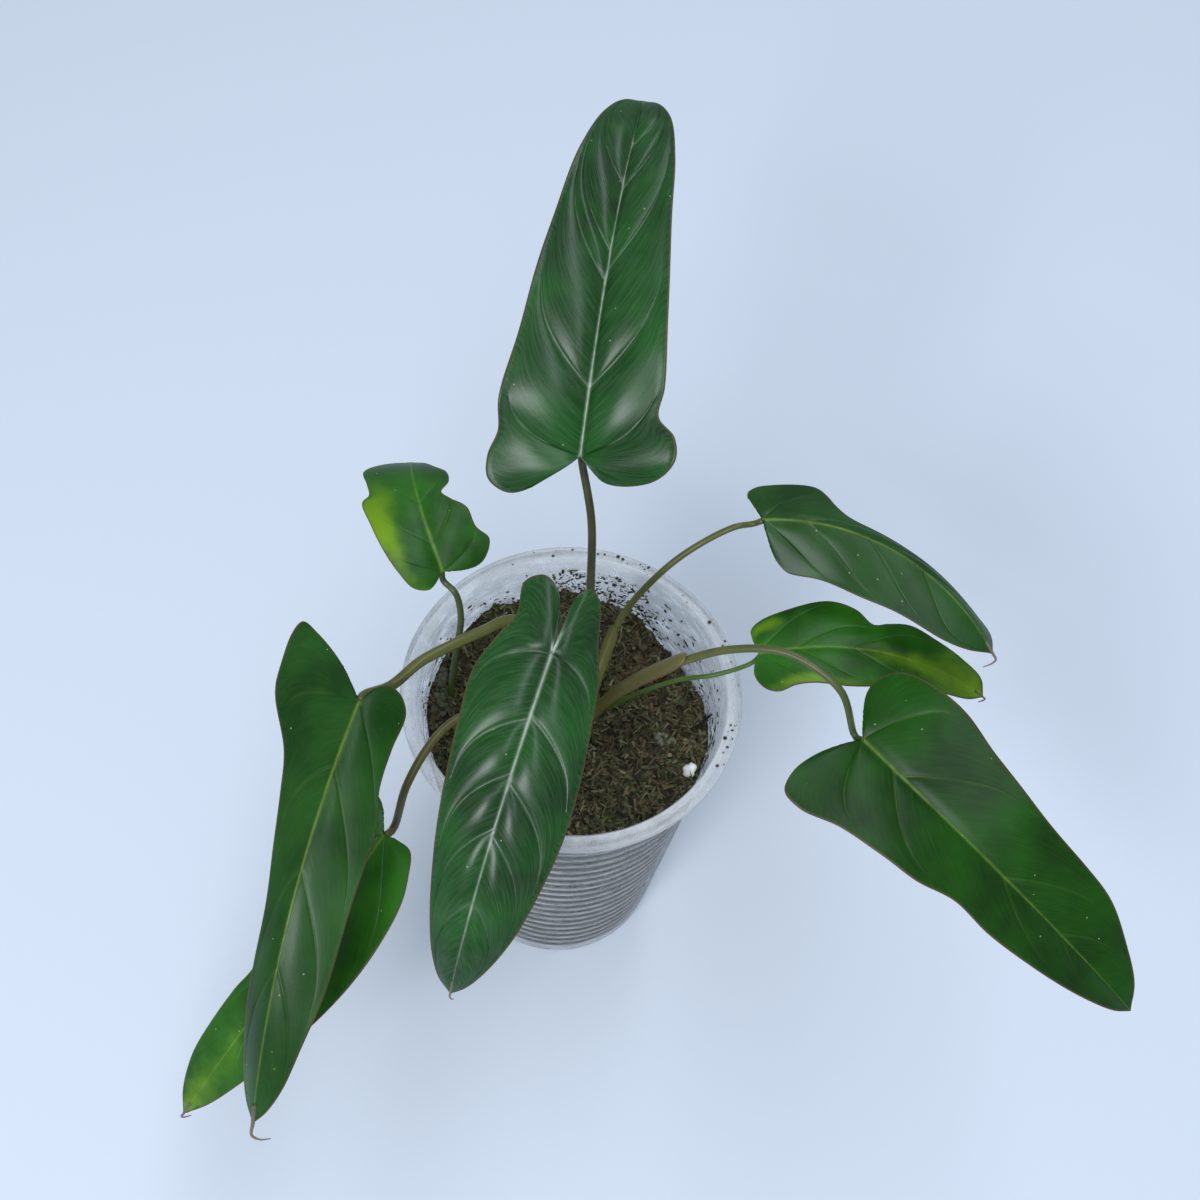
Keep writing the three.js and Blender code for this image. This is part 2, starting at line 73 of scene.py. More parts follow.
def clamp(value, low=0.0, high=1.0):
    return max(low, min(high, value))


def mix(a, b, share):
    return a + (b - a) * share


def bell(distance, width):
    return math.exp(-(distance / width) ** 2)


# adds one node: settings are its own properties, values and links go to its sockets
def addNode(tree, kind, settings=None, values=None, links=None):
    node = tree.nodes.new(kind)
    for key, value in (settings or {}).items():
        setattr(node, key, value)
    for key, value in (values or {}).items():
        node.inputs[key].default_value = value
    for key, source in (links or {}).items():
        tree.links.new(source, node.inputs[key])
    return node


def startMaterial(name, values):
    material = bpy.data.materials.new(name)
    material.use_nodes = True
    tree = material.node_tree
    shader = tree.nodes["Principled BSDF"]
    for key, value in values.items():
        shader.inputs[key].default_value = value
    return material, tree, shader


def addNoise(tree, vector, scale, detail):
    values = {"Scale": scale, "Detail": detail}
    return addNode(tree, "ShaderNodeTexNoise", values=values, links={"Vector": vector}).outputs["Fac"]


def addRange(tree, source, values, settings=None):
    return addNode(tree, "ShaderNodeMapRange", settings, values, {"Value": source}).outputs["Result"]


def addMath(tree, operation, first, second, clamped):
    settings = {"operation": operation, "use_clamp": clamped}
    return addNode(tree, "ShaderNodeMath", settings, links={0: first, 1: second}).outputs[0]


# strength as a share, distance in millimetres
def addBump(tree, height, strength, distance, normal=None):
    links = {"Height": height, "Normal": normal} if normal else {"Height": height}
    values = {"Strength": strength, "Distance": distance * mm}
    return addNode(tree, "ShaderNodeBump", values=values, links=links).outputs["Normal"]


# the three channels of a mesh's painted layer
def readMarks(tree, layer):
    marks = addNode(tree, "ShaderNodeVertexColor", {"layer_name": layer})
    return addNode(tree, "ShaderNodeSeparateColor", links={"Color": marks.outputs["Color"]}).outputs


# a ramp between colours, read from one grey value
def addRamp(tree, source, stops):
    ramp = addNode(tree, "ShaderNodeValToRGB", links={"Fac": source})
    elements = ramp.color_ramp.elements
    while len(elements) < len(stops):
        elements.new(0.5)
    for element, (place, colour) in zip(elements, stops):
        element.position = place
        element.color = linear(colour)
    return ramp.outputs["Color"]


def mixColours(tree, share, first, second):
    node = addNode(tree, "ShaderNodeMix", {"data_type": "RGBA"})
    if isinstance(share, float):
        node.inputs["Factor"].default_value = share
    else:
        tree.links.new(share, node.inputs["Factor"])
    for key, colour in (("A", first), ("B", second)):
        socket = [s for s in node.inputs if s.name == key and s.type == "RGBA"][0]
        if isinstance(colour, list):
            socket.default_value = colour
        else:
            tree.links.new(colour, socket)
    return [s for s in node.outputs if s.type == "RGBA"][0]


# turns a bmesh in metres into a finished piece that rides on the part's one body
def finishPiece(name, bm, material, nodes=(), smooth=True):
    mesh = bpy.data.meshes.new(name)
    for face in bm.faces:
        face.smooth = smooth
    bm.to_mesh(mesh)
    bm.free()
    mesh.materials.append(material)
    piece = bpy.data.objects.new(name, mesh)
    bpy.context.scene.collection.objects.link(piece)
    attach(piece, "root")
    if nodes:
        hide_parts(*nodes)
    return piece


# an empty bmesh with a layer that holds each vertex's colour
def startTinted(layer):
    bm = bmesh.new()
    return bm, bm.verts.layers.float_color.new(layer)


# a bmesh drawn in millimetres, turned to metres with its faces out
def scaleToMetres(bm):
    bmesh.ops.scale(bm, vec=(mm, mm, mm), verts=bm.verts)
    bmesh.ops.recalc_face_normals(bm, faces=bm.faces)


def shift(x, y, z):
    return Matrix.Translation(Vector((x, y, z)) * mm)


# a smooth line through the points, as evenly spaced places along it
def smoothLine(points, count):
    points = [Vector(p).to_3d() for p in points]
    points = [points[0] * 2 - points[1]] + points + [points[-1] * 2 - points[-2]]
    fine = []
    finePerSpan = 24
    for i in range(1, len(points) - 2):
        a, b, c, d = points[i - 1:i + 3]
        ab, bc, cd = [max((q - p).length, 1e-4) ** 0.5 for p, q in ((a, b), (b, c), (c, d))]
        slopeB = ((b - a) / ab - (c - a) / (ab + bc) + (c - b) / bc) * bc
        slopeC = ((c - b) / bc - (d - b) / (bc + cd) + (d - c) / cd) * bc
        for step in range(finePerSpan):
            t = step / finePerSpan
            fine.append(b + slopeB * t + (c * 3 - b * 3 - slopeB * 2 - slopeC) * t ** 2
                        + (b * 2 - c * 2 + slopeB + slopeC) * t ** 3)
    fine.append(points[-2])
    lengths = [0.0]
    for p, q in zip(fine, fine[1:]):
        lengths.append(lengths[-1] + (q - p).length)
    places = []
    at = 0
    for step in range(count + 1):
        wanted = lengths[-1] * step / count
        while at < len(fine) - 2 and lengths[at + 1] < wanted:
            at += 1
        span = max(lengths[at + 1] - lengths[at], 1e-9)
        places.append(fine[at].lerp(fine[at + 1], clamp((wanted - lengths[at]) / span)))
    return places


# Materials

cupLook = {
    "milk": "#eceeef",
    "dirtAndValleyShade": "#3d3425",
    "alphaClear": 0.08,
    "alphaHazeAndHighlight": 0.78,
    "dirtAndShadeCover": 0.5,
}


# polypropylene, thermoformed thin: milky clear and glossy; the rib crests carry painted highlight lines, and
# painted shade darkens the rib valleys among patches of dirt
def makeCupMaterial():
    material, tree, shader = startMaterial("thermoformedPolypropylene", {
        "Roughness": 0.22, "IOR": 1.49, "Specular IOR Level": 0.6})
    parts = readMarks(tree, "cupMarks")
    place = addNode(tree, "ShaderNodeTexCoord").outputs
    stretch = addNode(tree, "ShaderNodeMapping", values={"Scale": (1, 1, 3)},
                      links={"Vector": place["Object"]})
    blotch = addNoise(tree, stretch.outputs["Vector"], 1 / (6 * mm), 4.0)
    patches = addRange(tree, blotch, {"From Min": 0.32, "From Max": 0.48})
    # the green channel holds the dirt and the painted shade in the rib valleys, shown only inside the noise
    # patches
    dirtAndShadeShare = addMath(tree, "MULTIPLY", patches, parts["Green"], False)
    colour = mixColours(tree, dirtAndShadeShare, linear(cupLook["milk"]), linear(cupLook["dirtAndValleyShade"]))
    tree.links.new(colour, shader.inputs["Base Color"])
    speckled = addRange(tree, blotch, {"From Min": 0.35, "From Max": 0.65,
                                       "To Min": -0.12, "To Max": 0.12})
    # the red channel holds the milky haze together with the painted highlights on the rib crests and rim edges
    cover = addRange(tree, parts["Red"], {"To Min": cupLook["alphaClear"],
                                          "To Max": cupLook["alphaHazeAndHighlight"]})
    hazeAndHighlightAlpha = addMath(tree, "ADD", cover, speckled, True)
    # dirt and the painted valley shade hide what is behind them
    alpha = addNode(tree, "ShaderNodeMath", {"operation": "MULTIPLY_ADD", "use_clamp": True},
                    {1: cupLook["dirtAndShadeCover"]}, {0: dirtAndShadeShare, 2: hazeAndHighlightAlpha})
    tree.links.new(alpha.outputs[0], shader.inputs["Alpha"])
    return material


leafLooks = {
    "deep": {"low": "#0b340b", "high": "#175015", "rib": "#d3dfcb", "ribShare": 0.8,
             "veinShare": 0.22, "gloss": 0.36},
    "plain": {"low": "#0b3204", "high": "#174d09", "rib": "#7f9a3c", "ribShare": 0.7, "veinShare": 0.16,
              "gloss": 0.22},
    "dark": {"low": "#10380c", "high": "#205018", "rib": "#7e9636", "ribShare": 0.8, "veinShare": 0.14,
             "gloss": 0.26},
    "bright": {"low": "#134206", "high": "#2b6c16", "rib": "#84a83c", "ribShare": 0.6, "veinShare": 0.2,
               "gloss": 0.3},
    "young": "#739a0f",
    "margin": "#5d4630",
    "threadShare": 0.1,
    "speck": "#b9c08a",
}


# living leaf, waxy and smooth: deep green under a clear gloss, with pale veins pressed into it
def makeLeafMaterial(name, look, roughness):
    material, tree, shader = startMaterial(name, {
        "Roughness": roughness, "IOR": 1.45, "Specular IOR Level": look["gloss"]})
    rib = linear(look["rib"])
    parts = readMarks(tree, "leafMarks")
    place = addNode(tree, "ShaderNodeTexCoord").outputs
    cloud = addNoise(tree, place["Object"], 1 / (16 * mm), 5.0)
    green = addRamp(tree, cloud, [(0.34, look["low"]), (0.68, look["high"])])
    # yellow green where the blade is young, its edge broken up by the cloud
    broken = addRange(tree, cloud, {"From Min": 0.3, "From Max": 0.7, "To Min": -0.35, "To Max": 0.35})
    grown = addMath(tree, "ADD", parts["Blue"], broken, False)
    isYoung = addRange(tree, grown, {"From Min": 0.25, "From Max": 0.85},
                       {"interpolation_type": "SMOOTHSTEP"})
    hasYoung = addMath(tree, "MULTIPLY", isYoung, parts["Blue"], True)
    tone = mixColours(tree, hasYoung, green, linear(leafLooks["young"]))
    # fine side veins run with the lateral veins, about 0.6 mm apart
    along = addNode(tree, "ShaderNodeMapping", values={"Scale": (210, 3, 1)},
                    links={"Vector": place["UV"]})
    threads = addNoise(tree, along.outputs["Vector"], 1.0, 2.0)
    threadShare = addRange(tree, threads, {"From Min": 0.4, "From Max": 0.8,
                                           "To Max": leafLooks["threadShare"]})
    threaded = mixColours(tree, threadShare, tone, mixColours(tree, 0.5, tone, rib))
    # the veins are broken into lighter and darker lengths
    blotch = addNoise(tree, place["Object"], 1 / (3 * mm), 3.0)
    blotchShare = addRange(tree, blotch, {"From Min": 0.3, "From Max": 0.65, "To Min": 0.45})
    veinAmount = addMath(tree, "MULTIPLY", parts["Red"], blotchShare, True)
    veined = mixColours(tree, veinAmount, threaded, rib)
    edged = mixColours(tree, parts["Green"], veined, linear(leafLooks["margin"]))
    # pale specks of lime and dust, a few on each blade
    grains = addNode(tree, "ShaderNodeTexVoronoi", values={"Scale": 1 / (5 * mm)},
                     links={"Vector": place["Object"]})
    isSpeck = addRange(tree, grains.outputs["Distance"],
                       {"From Min": 0.045, "From Max": 0.035, "To Max": 0.6})
    specked = mixColours(tree, isSpeck, edged, linear(leafLooks["speck"]))
    tree.links.new(specked, shader.inputs["Base Color"])
    threadBump = addBump(tree, threads, 0.15, 0.08)
    pores = addNoise(tree, place["Object"], 1 / (0.7 * mm), 2.0)
    tree.links.new(addBump(tree, pores, 0.12, 0.1, threadBump), shader.inputs["Normal"])
    return material


# plant stem, grown: smooth and faintly waxy, olive with brown and green patches along it
def makeStemMaterial(name, stops, roughness=0.36):
    material, tree, shader = startMaterial(name, {
        "Roughness": roughness, "IOR": 1.45, "Specular IOR Level": 0.5})
    tint = addNode(tree, "ShaderNodeVertexColor", {"layer_name": "stemTint"})
    place = addNode(tree, "ShaderNodeTexCoord").outputs["Object"]
    patchColour = addRamp(tree, addNoise(tree, place, 1 / (5 * mm), 4.0), stops)
    colour = mixColours(tree, 0.78, patchColour, tint.outputs["Color"])
    tree.links.new(colour, shader.inputs["Base Color"])
    fine = addNoise(tree, place, 1 / (0.6 * mm), 2.0)
    tree.links.new(addBump(tree, fine, 0.2, 0.1), shader.inputs["Normal"])
    return material


# peat and moss potting mix, damp: crumbly, dark brown to khaki, no gloss
def makeSoilMaterial():
    material, tree, shader = startMaterial("dampPottingMix", {"Roughness": 0.92, "IOR": 1.4})
    place = addNode(tree, "ShaderNodeTexCoord").outputs["Object"]
    crumbs = addNoise(tree, place, 1 / (2.2 * mm), 6.0)
    colour = addRamp(tree, crumbs, [
        (0.32, "#17150d"), (0.48, "#353122"), (0.6, "#57523a"), (0.75, "#7a7458")])
    tree.links.new(colour, shader.inputs["Base Color"])
    tree.links.new(addBump(tree, crumbs, 0.8, 0.6), shader.inputs["Normal"])
    return material


# dried sphagnum shreds and crumbs: matt, each with its own tint from its mesh
def makeShredMaterial(name, roughness):
    material, tree, shader = startMaterial(name, {"Roughness": roughness, "IOR": 1.4})
    tint = addNode(tree, "ShaderNodeVertexColor", {"layer_name": "shredTint"})
    tree.links.new(tint.outputs["Color"], shader.inputs["Base Color"])
    return material


# Cup: each rib as offsets from its middle, in pitches, and depths as shares

cup = {
    "height": 125.0,
    "baseRadius": 32.0,
    "wallTopRadius": 43.4,
    "wall": 0.9,
    "floor": 1.2,
    "rimRadius": 47.5,
    "rimInner": 43.7,
    "rimThickness": 1.2,
    "skirtDepth": 3.4,
    "skirtThickness": 0.8,
    "ribCount": 18,
    "ribStart": 9.0,
    "ribPitch": 5.57,
    "ribDepth": 0.35,
    "spinSteps": 360,
    "serrations": 90,
    "serrationDepth": 0.14,
    "plainTop": 5,
    "ribOutside": [(-0.5, 0.02), (-0.3, 0.12), (-0.12, 0.85), (0, 1.0), (0.12, 0.85), (0.3, 0.12)],
    "ribInside": [(0.3, 0.1), (0.0, 0.7), (-0.3, 0.1)],
}


def wallRadius(height):
    return mix(cup["baseRadius"], cup["wallTopRadius"], height / cup["height"])


def cupProfile():
    height, rim = cup["height"], cup["rimRadius"]
    flangeUnder = height - cup["rimThickness"]
    skirtFoot = height - cup["skirtDepth"]
    base = cup["baseRadius"]
    outside = [(0, 0), (base - 6, 0.0), (base - 0.8, 0.0), (base - 0.2, 0.25), (base, 0.9)]
    for rib in range(cup["ribCount"] + 1):
        valley = cup["ribStart"] + rib * cup["ribPitch"]
        for offset, depth in cup["ribOutside"]:
            z = valley + offset * cup["ribPitch"]
            if z < flangeUnder - cup["plainTop"]:
                outside.append((wallRadius(z) - cup["ribDepth"] * depth, z))
    edge = [
        (wallRadius(flangeUnder) - 0.1, flangeUnder - 1.2), (wallRadius(flangeUnder), flangeUnder - 0.4),
        (wallRadius(flangeUnder) + 0.5, flangeUnder), (rim - cup["skirtThickness"], flangeUnder),
        (rim - cup["skirtThickness"], skirtFoot), (rim - 0.2, skirtFoot),
        (rim - 0.12, skirtFoot + 1.1), (rim - 0.3, skirtFoot + 1.4), (rim - 0.05, skirtFoot + 1.8),
        (rim, height - 0.7), (rim - 0.18, height - 0.22), (rim - 0.6, height),
        (rim - 1.3, height - 0.06), (rim - 1.7, height - 0.22), (cup["rimInner"] + 0.7, height - 0.22),
        (cup["rimInner"] + 0.4, height - 0.05), (cup["rimInner"], height - 0.1),
        (cup["rimInner"] - 0.35, height - 0.5),
    ]
    inset = cup["wall"] + cup["ribDepth"]
    inside = []
    for rib in range(cup["ribCount"], -1, -1):
        valley = cup["ribStart"] + rib * cup["ribPitch"]
        for offset, depth in cup["ribInside"]:
            z = valley + offset * cup["ribPitch"]
            if z < flangeUnder - cup["plainTop"]:
                inside.append((wallRadius(z) - inset - 0.3 * cup["ribDepth"] * depth, z))
    inside.append((cup["baseRadius"] - inset, cup["floor"] + 1.2))
    inside.append((cup["baseRadius"] - inset - 1.2, cup["floor"]))
    inside.append((0, cup["floor"]))
    return outside + edge + inside


def makeCup(material):
    bm = bmesh.new()
    chain = [bm.verts.new((r * mm, 0, z * mm)) for r, z in cupProfile()]
    edges = [bm.edges.new(pair) for pair in zip(chain, chain[1:])]
    bmesh.ops.spin(bm, geom=chain + edges, cent=(0, 0, 0), axis=(0, 0, 1), angle=fullTurn,
                   steps=cup["spinSteps"], use_merge=True)
    bmesh.ops.remove_doubles(bm, verts=bm.verts, dist=0.002 * mm)
    marks = bm.verts.layers.float_color.new("cupMarks")
    for vert in bm.verts:
        radius = vert.co.xy.length / mm
        z = vert.co.z / mm
        turn = math.atan2(vert.co.y, vert.co.x)
        if z > cup["height"] - 0.3 and cup["rimInner"] + 0.5 < radius < cup["rimRadius"] - 1.0:
            vert.co.z -= cup["serrationDepth"] * mm * (0.5 - 0.5 * math.cos(turn * cup["serrations"]))
        phase = (z - cup["ribStart"]) / cup["ribPitch"]
        crest = 0.5 - 0.5 * math.cos(fullTurn * phase)
        outer = radius > wallRadius(z) - 0.6
        inBand = cup["ribStart"] - 3 < z < cup["height"] - 8
        hazeAndHighlight = 0.3
        # painted highlight: on the outer rib band the crests are whiter and more opaque, standing in for the
        # light lines along the ribs
        if outer and inBand:
            hazeAndHighlight = 0.04 + 0.4 * crest ** 2
        # painted highlight: whiter, more opaque rings along the rim's outer and inner edges
        if z > cup["height"] - 5 and radius > cup["rimInner"] - 0.4:
            fromEdge = min(abs(radius - cup["rimRadius"]), abs(radius - cup["rimInner"] - 0.4))
            hazeAndHighlight = 0.08 + 0.5 * bell(fromEdge, 0.5)
        if not outer and inBand:
            hazeAndHighlight = 0.08
        # dirt everywhere; on the outer rib band, painted shade in the valleys between the ribs, darker towards
        # the bottom
        dirtAndValleyShade = 0.12
        if outer and inBand:
            dirtAndValleyShade = clamp(1.1 - 1.2 * crest) * mix(1, 0.45, clamp((z - 85) / 35)) + 0.2
        vert[marks] = (hazeAndHighlight, dirtAndValleyShade, 0, 1)
    bmesh.ops.recalc_face_normals(bm, faces=bm.faces)
    finishPiece("ribbedCup", bm, material, ["cup"])
    print("cup made")


# Soil and what lies on it

soil = {
    "level": 107.0,
    "lump": 1.1,
    "calmRadius": 8.0,
    "crownHollow": 2.5,
    "dip": 6.0,
    "dipAzimuth": 38.0,
    "dipStart": 14.0,
    "dipSpan": 26.0,
    "dipSharpness": 14,
    "leftRise": 4.0,
    "backRise": 3.5,
    "riseSpan": 40.0,
    "gap": 0.3,
    "grid": 190,
    "crumble": 1.5,
    "shreds": 4200,
    "crumbs": 700,
    "wallCrumbs": 900,
    "seed": 11,
}


def soilHeight(x, y):
    radius = math.hypot(x, y)
    reach = clamp((radius - soil["dipStart"]) / soil["dipSpan"])
    towardsDip = max(0.0, math.cos(math.atan2(y, x) - math.radians(soil["dipAzimuth"])))
    dip = soil["dip"] * towardsDip ** soil["dipSharpness"] * reach ** 2
    leftShare = clamp(-x / soil["riseSpan"])
    backShare = clamp(y / soil["riseSpan"]) * clamp(1 - x / soil["riseSpan"])
    rise = soil["leftRise"] * leftShare + soil["backRise"] * backShare
    lumps = math.sin(x * 0.31 + 1.2) * math.cos(y * 0.27) + 0.7 * math.sin(x * 0.17 - y * 0.41)
    calm = clamp(radius / soil["calmRadius"] - 1)
    return soil["level"] - soil["crownHollow"] * (1 - calm) + rise - dip + soil["lump"] * lumps * calm


def soilSide(height):
    return wallRadius(height) - cup["wall"] - cup["ribDepth"] - soil["gap"]


# the same height with clods and crumbs on it
def crumbledHeight(x, y):
    spot = Vector((x, y, 3.7))
    clods = noise.noise(spot * 0.16) * 1.3
    crumbs = noise.turbulence(spot * 0.42, 4, False)
    return soilHeight(x, y) + soil["crumble"] * (clods + crumbs - 0.9)


def makeSoil(material):
    bm = bmesh.new()
    bmesh.ops.create_grid(bm, x_segments=soil["grid"], y_segments=soil["grid"], size=1)
    # the square grid is drawn out to a disc
    for vert in bm.verts:
        x, y = vert.co.x, vert.co.y
        reach = max(abs(x), abs(y))
        if abs(x) >= abs(y) and reach > 0:
            turn = math.pi / 4 * y / x + (math.pi if x < 0 else 0)
        elif reach > 0:
            turn = math.pi / 2 - math.pi / 4 * x / y + (math.pi if y < 0 else 0)
        else:
            turn = 0
        edgeSide = soilSide(soilHeight(40 * math.cos(turn), 40 * math.sin(turn)))
        x, y = reach * edgeSide * math.cos(turn), reach * edgeSide * math.sin(turn)
        vert.co = Vector((x, y, crumbledHeight(x, y))) * mm
    border = [edge for edge in bm.edges if edge.is_boundary]
    wall = bmesh.ops.extrude_edge_only(bm, edges=border)
    lowVerts = [item for item in wall["geom"] if isinstance(item, bmesh.types.BMVert)]
    foot = cup["floor"] + soil["gap"]
    for vert in lowVerts:
        flat = vert.co.xy.normalized() * soilSide(foot) * mm
        vert.co = Vector((flat.x, flat.y, foot * mm))
    lowEdges = [edge for edge in bm.edges if edge.is_boundary]
    bmesh.ops.contextual_create(bm, geom=lowEdges)
    bmesh.ops.recalc_face_normals(bm, faces=bm.faces)
    finishPiece("pottingMix", bm, material, ["soil"])
    print("soil made")


shredShape = {
    "reach": 42,
    "length": (1.5, 3.9),
    "width": (0.2, 0.5),
    "lean": 0.34,
    "crumbSize": (0.35, 1.05),
    "redPatch": (20, 18),
    "redReach": (2, 11),
    "shade": (0.35, 1.0),
}
shredTints = ["#6e6a4a", "#7d7858", "#5f5a3e", "#4a4730", "#4d5532", "#5c6a34", "#3a3726", "#7a6448",
              "#64523a", "#8f8866", "#706b48", "#5b5b3f", "#66603f", "#524d34"]
shredRed = "#7b5a38"
wallTints = ["#2c331a", "#3d4a20", "#1f2016", "#4a4630", "#55652c", "#33301f"]


def makeShreds(material):
    rng = random.Random(soil["seed"])
    bm, tint = startTinted("shredTint")
    for index in range(soil["shreds"] + soil["crumbs"]):
        isShred = index < soil["shreds"]
        radius = shredShape["reach"] * math.sqrt(rng.random())
        turn = rng.uniform(0, fullTurn)
        x, y = radius * math.cos(turn), radius * math.sin(turn)
        height = crumbledHeight(x, y)
        radius = min(radius, soilSide(height) - 1.2)
        x, y = radius * math.cos(turn), radius * math.sin(turn)
        length = rng.uniform(*shredShape["length"])
        lean = rng.gauss(0, shredShape["lean"])
        swing = Matrix.Rotation(rng.uniform(0, fullTurn), 4, "Z")
        lay = Matrix.Rotation(math.pi / 2 + lean, 4, "Y")
        if isShred:
            width = rng.uniform(*shredShape["width"])
            place = shift(x, y, height + 0.3 + abs(lean) * length * 0.35)
            flatten = Matrix.Diagonal((0.55, 1, 1, 1))
            made = bmesh.ops.create_cone(bm, cap_ends=True, segments=4, radius1=width * mm,
                                         radius2=width * mm * rng.uniform(0.15, 0.7), depth=length * mm,
                                         matrix=place @ swing @ lay @ flatten)
        else:
            size = rng.uniform(*shredShape["crumbSize"])
            place = shift(x, y, height + size * 0.3)
            squash = Matrix.Diagonal((1, rng.uniform(0.55, 1), rng.uniform(0.5, 0.9), 1))
            made = bmesh.ops.create_icosphere(bm, subdivisions=1, radius=size * mm,
                                              matrix=place @ swing @ squash)
        # a reddish patch lies towards the back right
        fromRed = math.hypot(x - shredShape["redPatch"][0], y - shredShape["redPatch"][1])
        isRed = fromRed < rng.uniform(*shredShape["redReach"])
        colour = linear(shredRed if isRed and rng.random() < 0.6 else rng.choice(shredTints))
        shade = rng.uniform(*shredShape["shade"])
        for vert in made["verts"]:
            vert[tint] = (colour[0] * shade, colour[1] * shade, colour[2] * shade, 1)
    finishPiece("mossShreds", bm, material, smooth=False)
    print("moss shreds made")


soilBits = {
    "perlite": {"place": (35.5, -11.7), "size": 1.6, "lumps": 5, "spread": 0.9, "tint": "#f4f4ee"},
    "paleLump": {"place": (27.7, -2.5), "size": 0.9, "lumps": 26, "spread": 2.2, "tint": "#7d806c"},
    "backLump": {"place": (-38.6, 8.0), "size": 1.2, "lumps": 12, "spread": 2.4, "tint": "#63664c"},
    "middleLump": {"place": (-36.8, 2.6), "size": 1.3, "lumps": 12, "spread": 2.4, "tint": "#5c5f46"},
    "frontLump": {"place": (-37.0, -2.6), "size": 1.1, "lumps": 10, "spread": 2.2, "tint": "#545840"},
    "twig": {"from": (36.2, 1.2, 1.0), "to": (40.6, 5.6, 4.6), "radius": 0.55, "tint": "#17160f"},
}


# a white perlite bead, a few pale lumps and a dark twig that leans on the wall
def makeSoilBits(material):
    rng = random.Random(soil["seed"] + 2)
    bm, tint = startTinted("shredTint")
    for bit in soilBits.values():
        colour = linear(bit["tint"])
        if "from" in bit:
            start, end = [Vector((x, y, crumbledHeight(x, y) + up))
                          for x, y, up in (bit["from"], bit["to"])]
            lay = (end - start).to_track_quat("Z", "Y").to_matrix().to_4x4()
            made = bmesh.ops.create_cone(bm, cap_ends=True, segments=7, radius1=bit["radius"] * mm,
                                         radius2=bit["radius"] * 0.6 * mm, depth=(end - start).length * mm,
                                         matrix=Matrix.Translation((start + end) * 0.5 * mm) @ lay)
            for vert in made["verts"]:
                vert[tint] = colour
            continue
        for lump in range(bit["lumps"]):
            x = bit["place"][0] + rng.uniform(-1, 1) * bit["spread"]
            y = bit["place"][1] + rng.uniform(-1, 1) * bit["spread"]
            z = crumbledHeight(x, y) + bit["size"] * rng.uniform(0.3, 0.8)
            radius = math.hypot(x, y)
            inside = min(1, (soilSide(z) - bit["size"] - 0.4) / radius)
            size = bit["size"] * rng.uniform(0.6, 1)
            made = bmesh.ops.create_icosphere(bm, subdivisions=2, radius=size * mm,
                                              matrix=shift(x * inside, y * inside, z))
            shade = rng.uniform(0.75, 1.1)
            for vert in made["verts"]:
                vert.co += vert.normal * noise.noise(vert.co * 900) * size * 0.35 * mm
                vert[tint] = [clamp(c * shade) for c in colour[:3]] + [1]
    finishPiece("soilBits", bm, material)
    print("soil bits made")


# crumbs stuck to the clear wall and on the rim, most of them at the back
def makeWallCrumbs(material):
    rng = random.Random(soil["seed"] + 1)
    bm, tint = startTinted("shredTint")
    for index in range(soil["wallCrumbs"]):
        # thick behind the leaf stalks, some at the right, the rest all round
        turn = math.radians(rng.uniform(-60, 300))
        if index % 8 < 4:
            turn = math.radians(rng.gauss(80, 17))
        elif index % 8 == 4:
            turn = math.radians(rng.gauss(-5, 20))
        surface = soilHeight(40 * math.cos(turn), 40 * math.sin(turn))
        size = 0.16 + 0.5 * rng.random() ** 2.2
        onRim = index % 20 == 0
        if onRim:
            radius = rng.uniform(cup["rimInner"] + 0.3, cup["rimRadius"] - 0.6)
            z = cup["height"] + 0.02
        else:
            z = surface + (cup["height"] - 4 - surface) * rng.random() ** 1.5
            radius = wallRadius(z) - cup["wall"] - cup["ribDepth"] - 0.12
        place = shift(radius * math.cos(turn), radius * math.sin(turn), z)
        face = Matrix.Rotation(turn, 4, "Z")
        thin, long = 0.35, rng.uniform(0.7, 2.4)
        squash = Matrix.Rotation(rng.uniform(0, fullTurn), 4, "X") @ Matrix.Diagonal((thin, long, 0.8, 1))
        if onRim:
            squash = Matrix.Diagonal((1, 1, thin, 1))
        made = bmesh.ops.create_icosphere(bm, subdivisions=1, radius=size * mm,
                                          matrix=place @ face @ squash)
        colour = linear(rng.choice(wallTints))
        for vert in made["verts"]:
            vert[tint] = colour
    finishPiece("wallCrumbs", bm, material, smooth=False)
    print("wall crumbs made")


# Leaves: placed and outlined as in the part, in millimetres and degrees

leafMesh = {
    "rows": 216,
    "columns": 84,
    "earShare": 0.3,
    "rowPacking": 1.12,
    "columnPacking": 1.1,
    "curlSpan": 20.0,
    "waveRate": 0.19,
    "waveShift": 2.0,
    "midribSteps": 60,
    "thickness": 0.42,
    "veinBend": 0.045,
    "veinReach": 0.93,
    "veinRows": 1.3,
    "marginFineness": 4,
    "sliverTilt": 0.3,
    "mergeReach": 0.07,
}

plainVeins = ([0.27, 0.43, 0.6, 0.75], [0.27, 0.43, 0.6, 0.75])

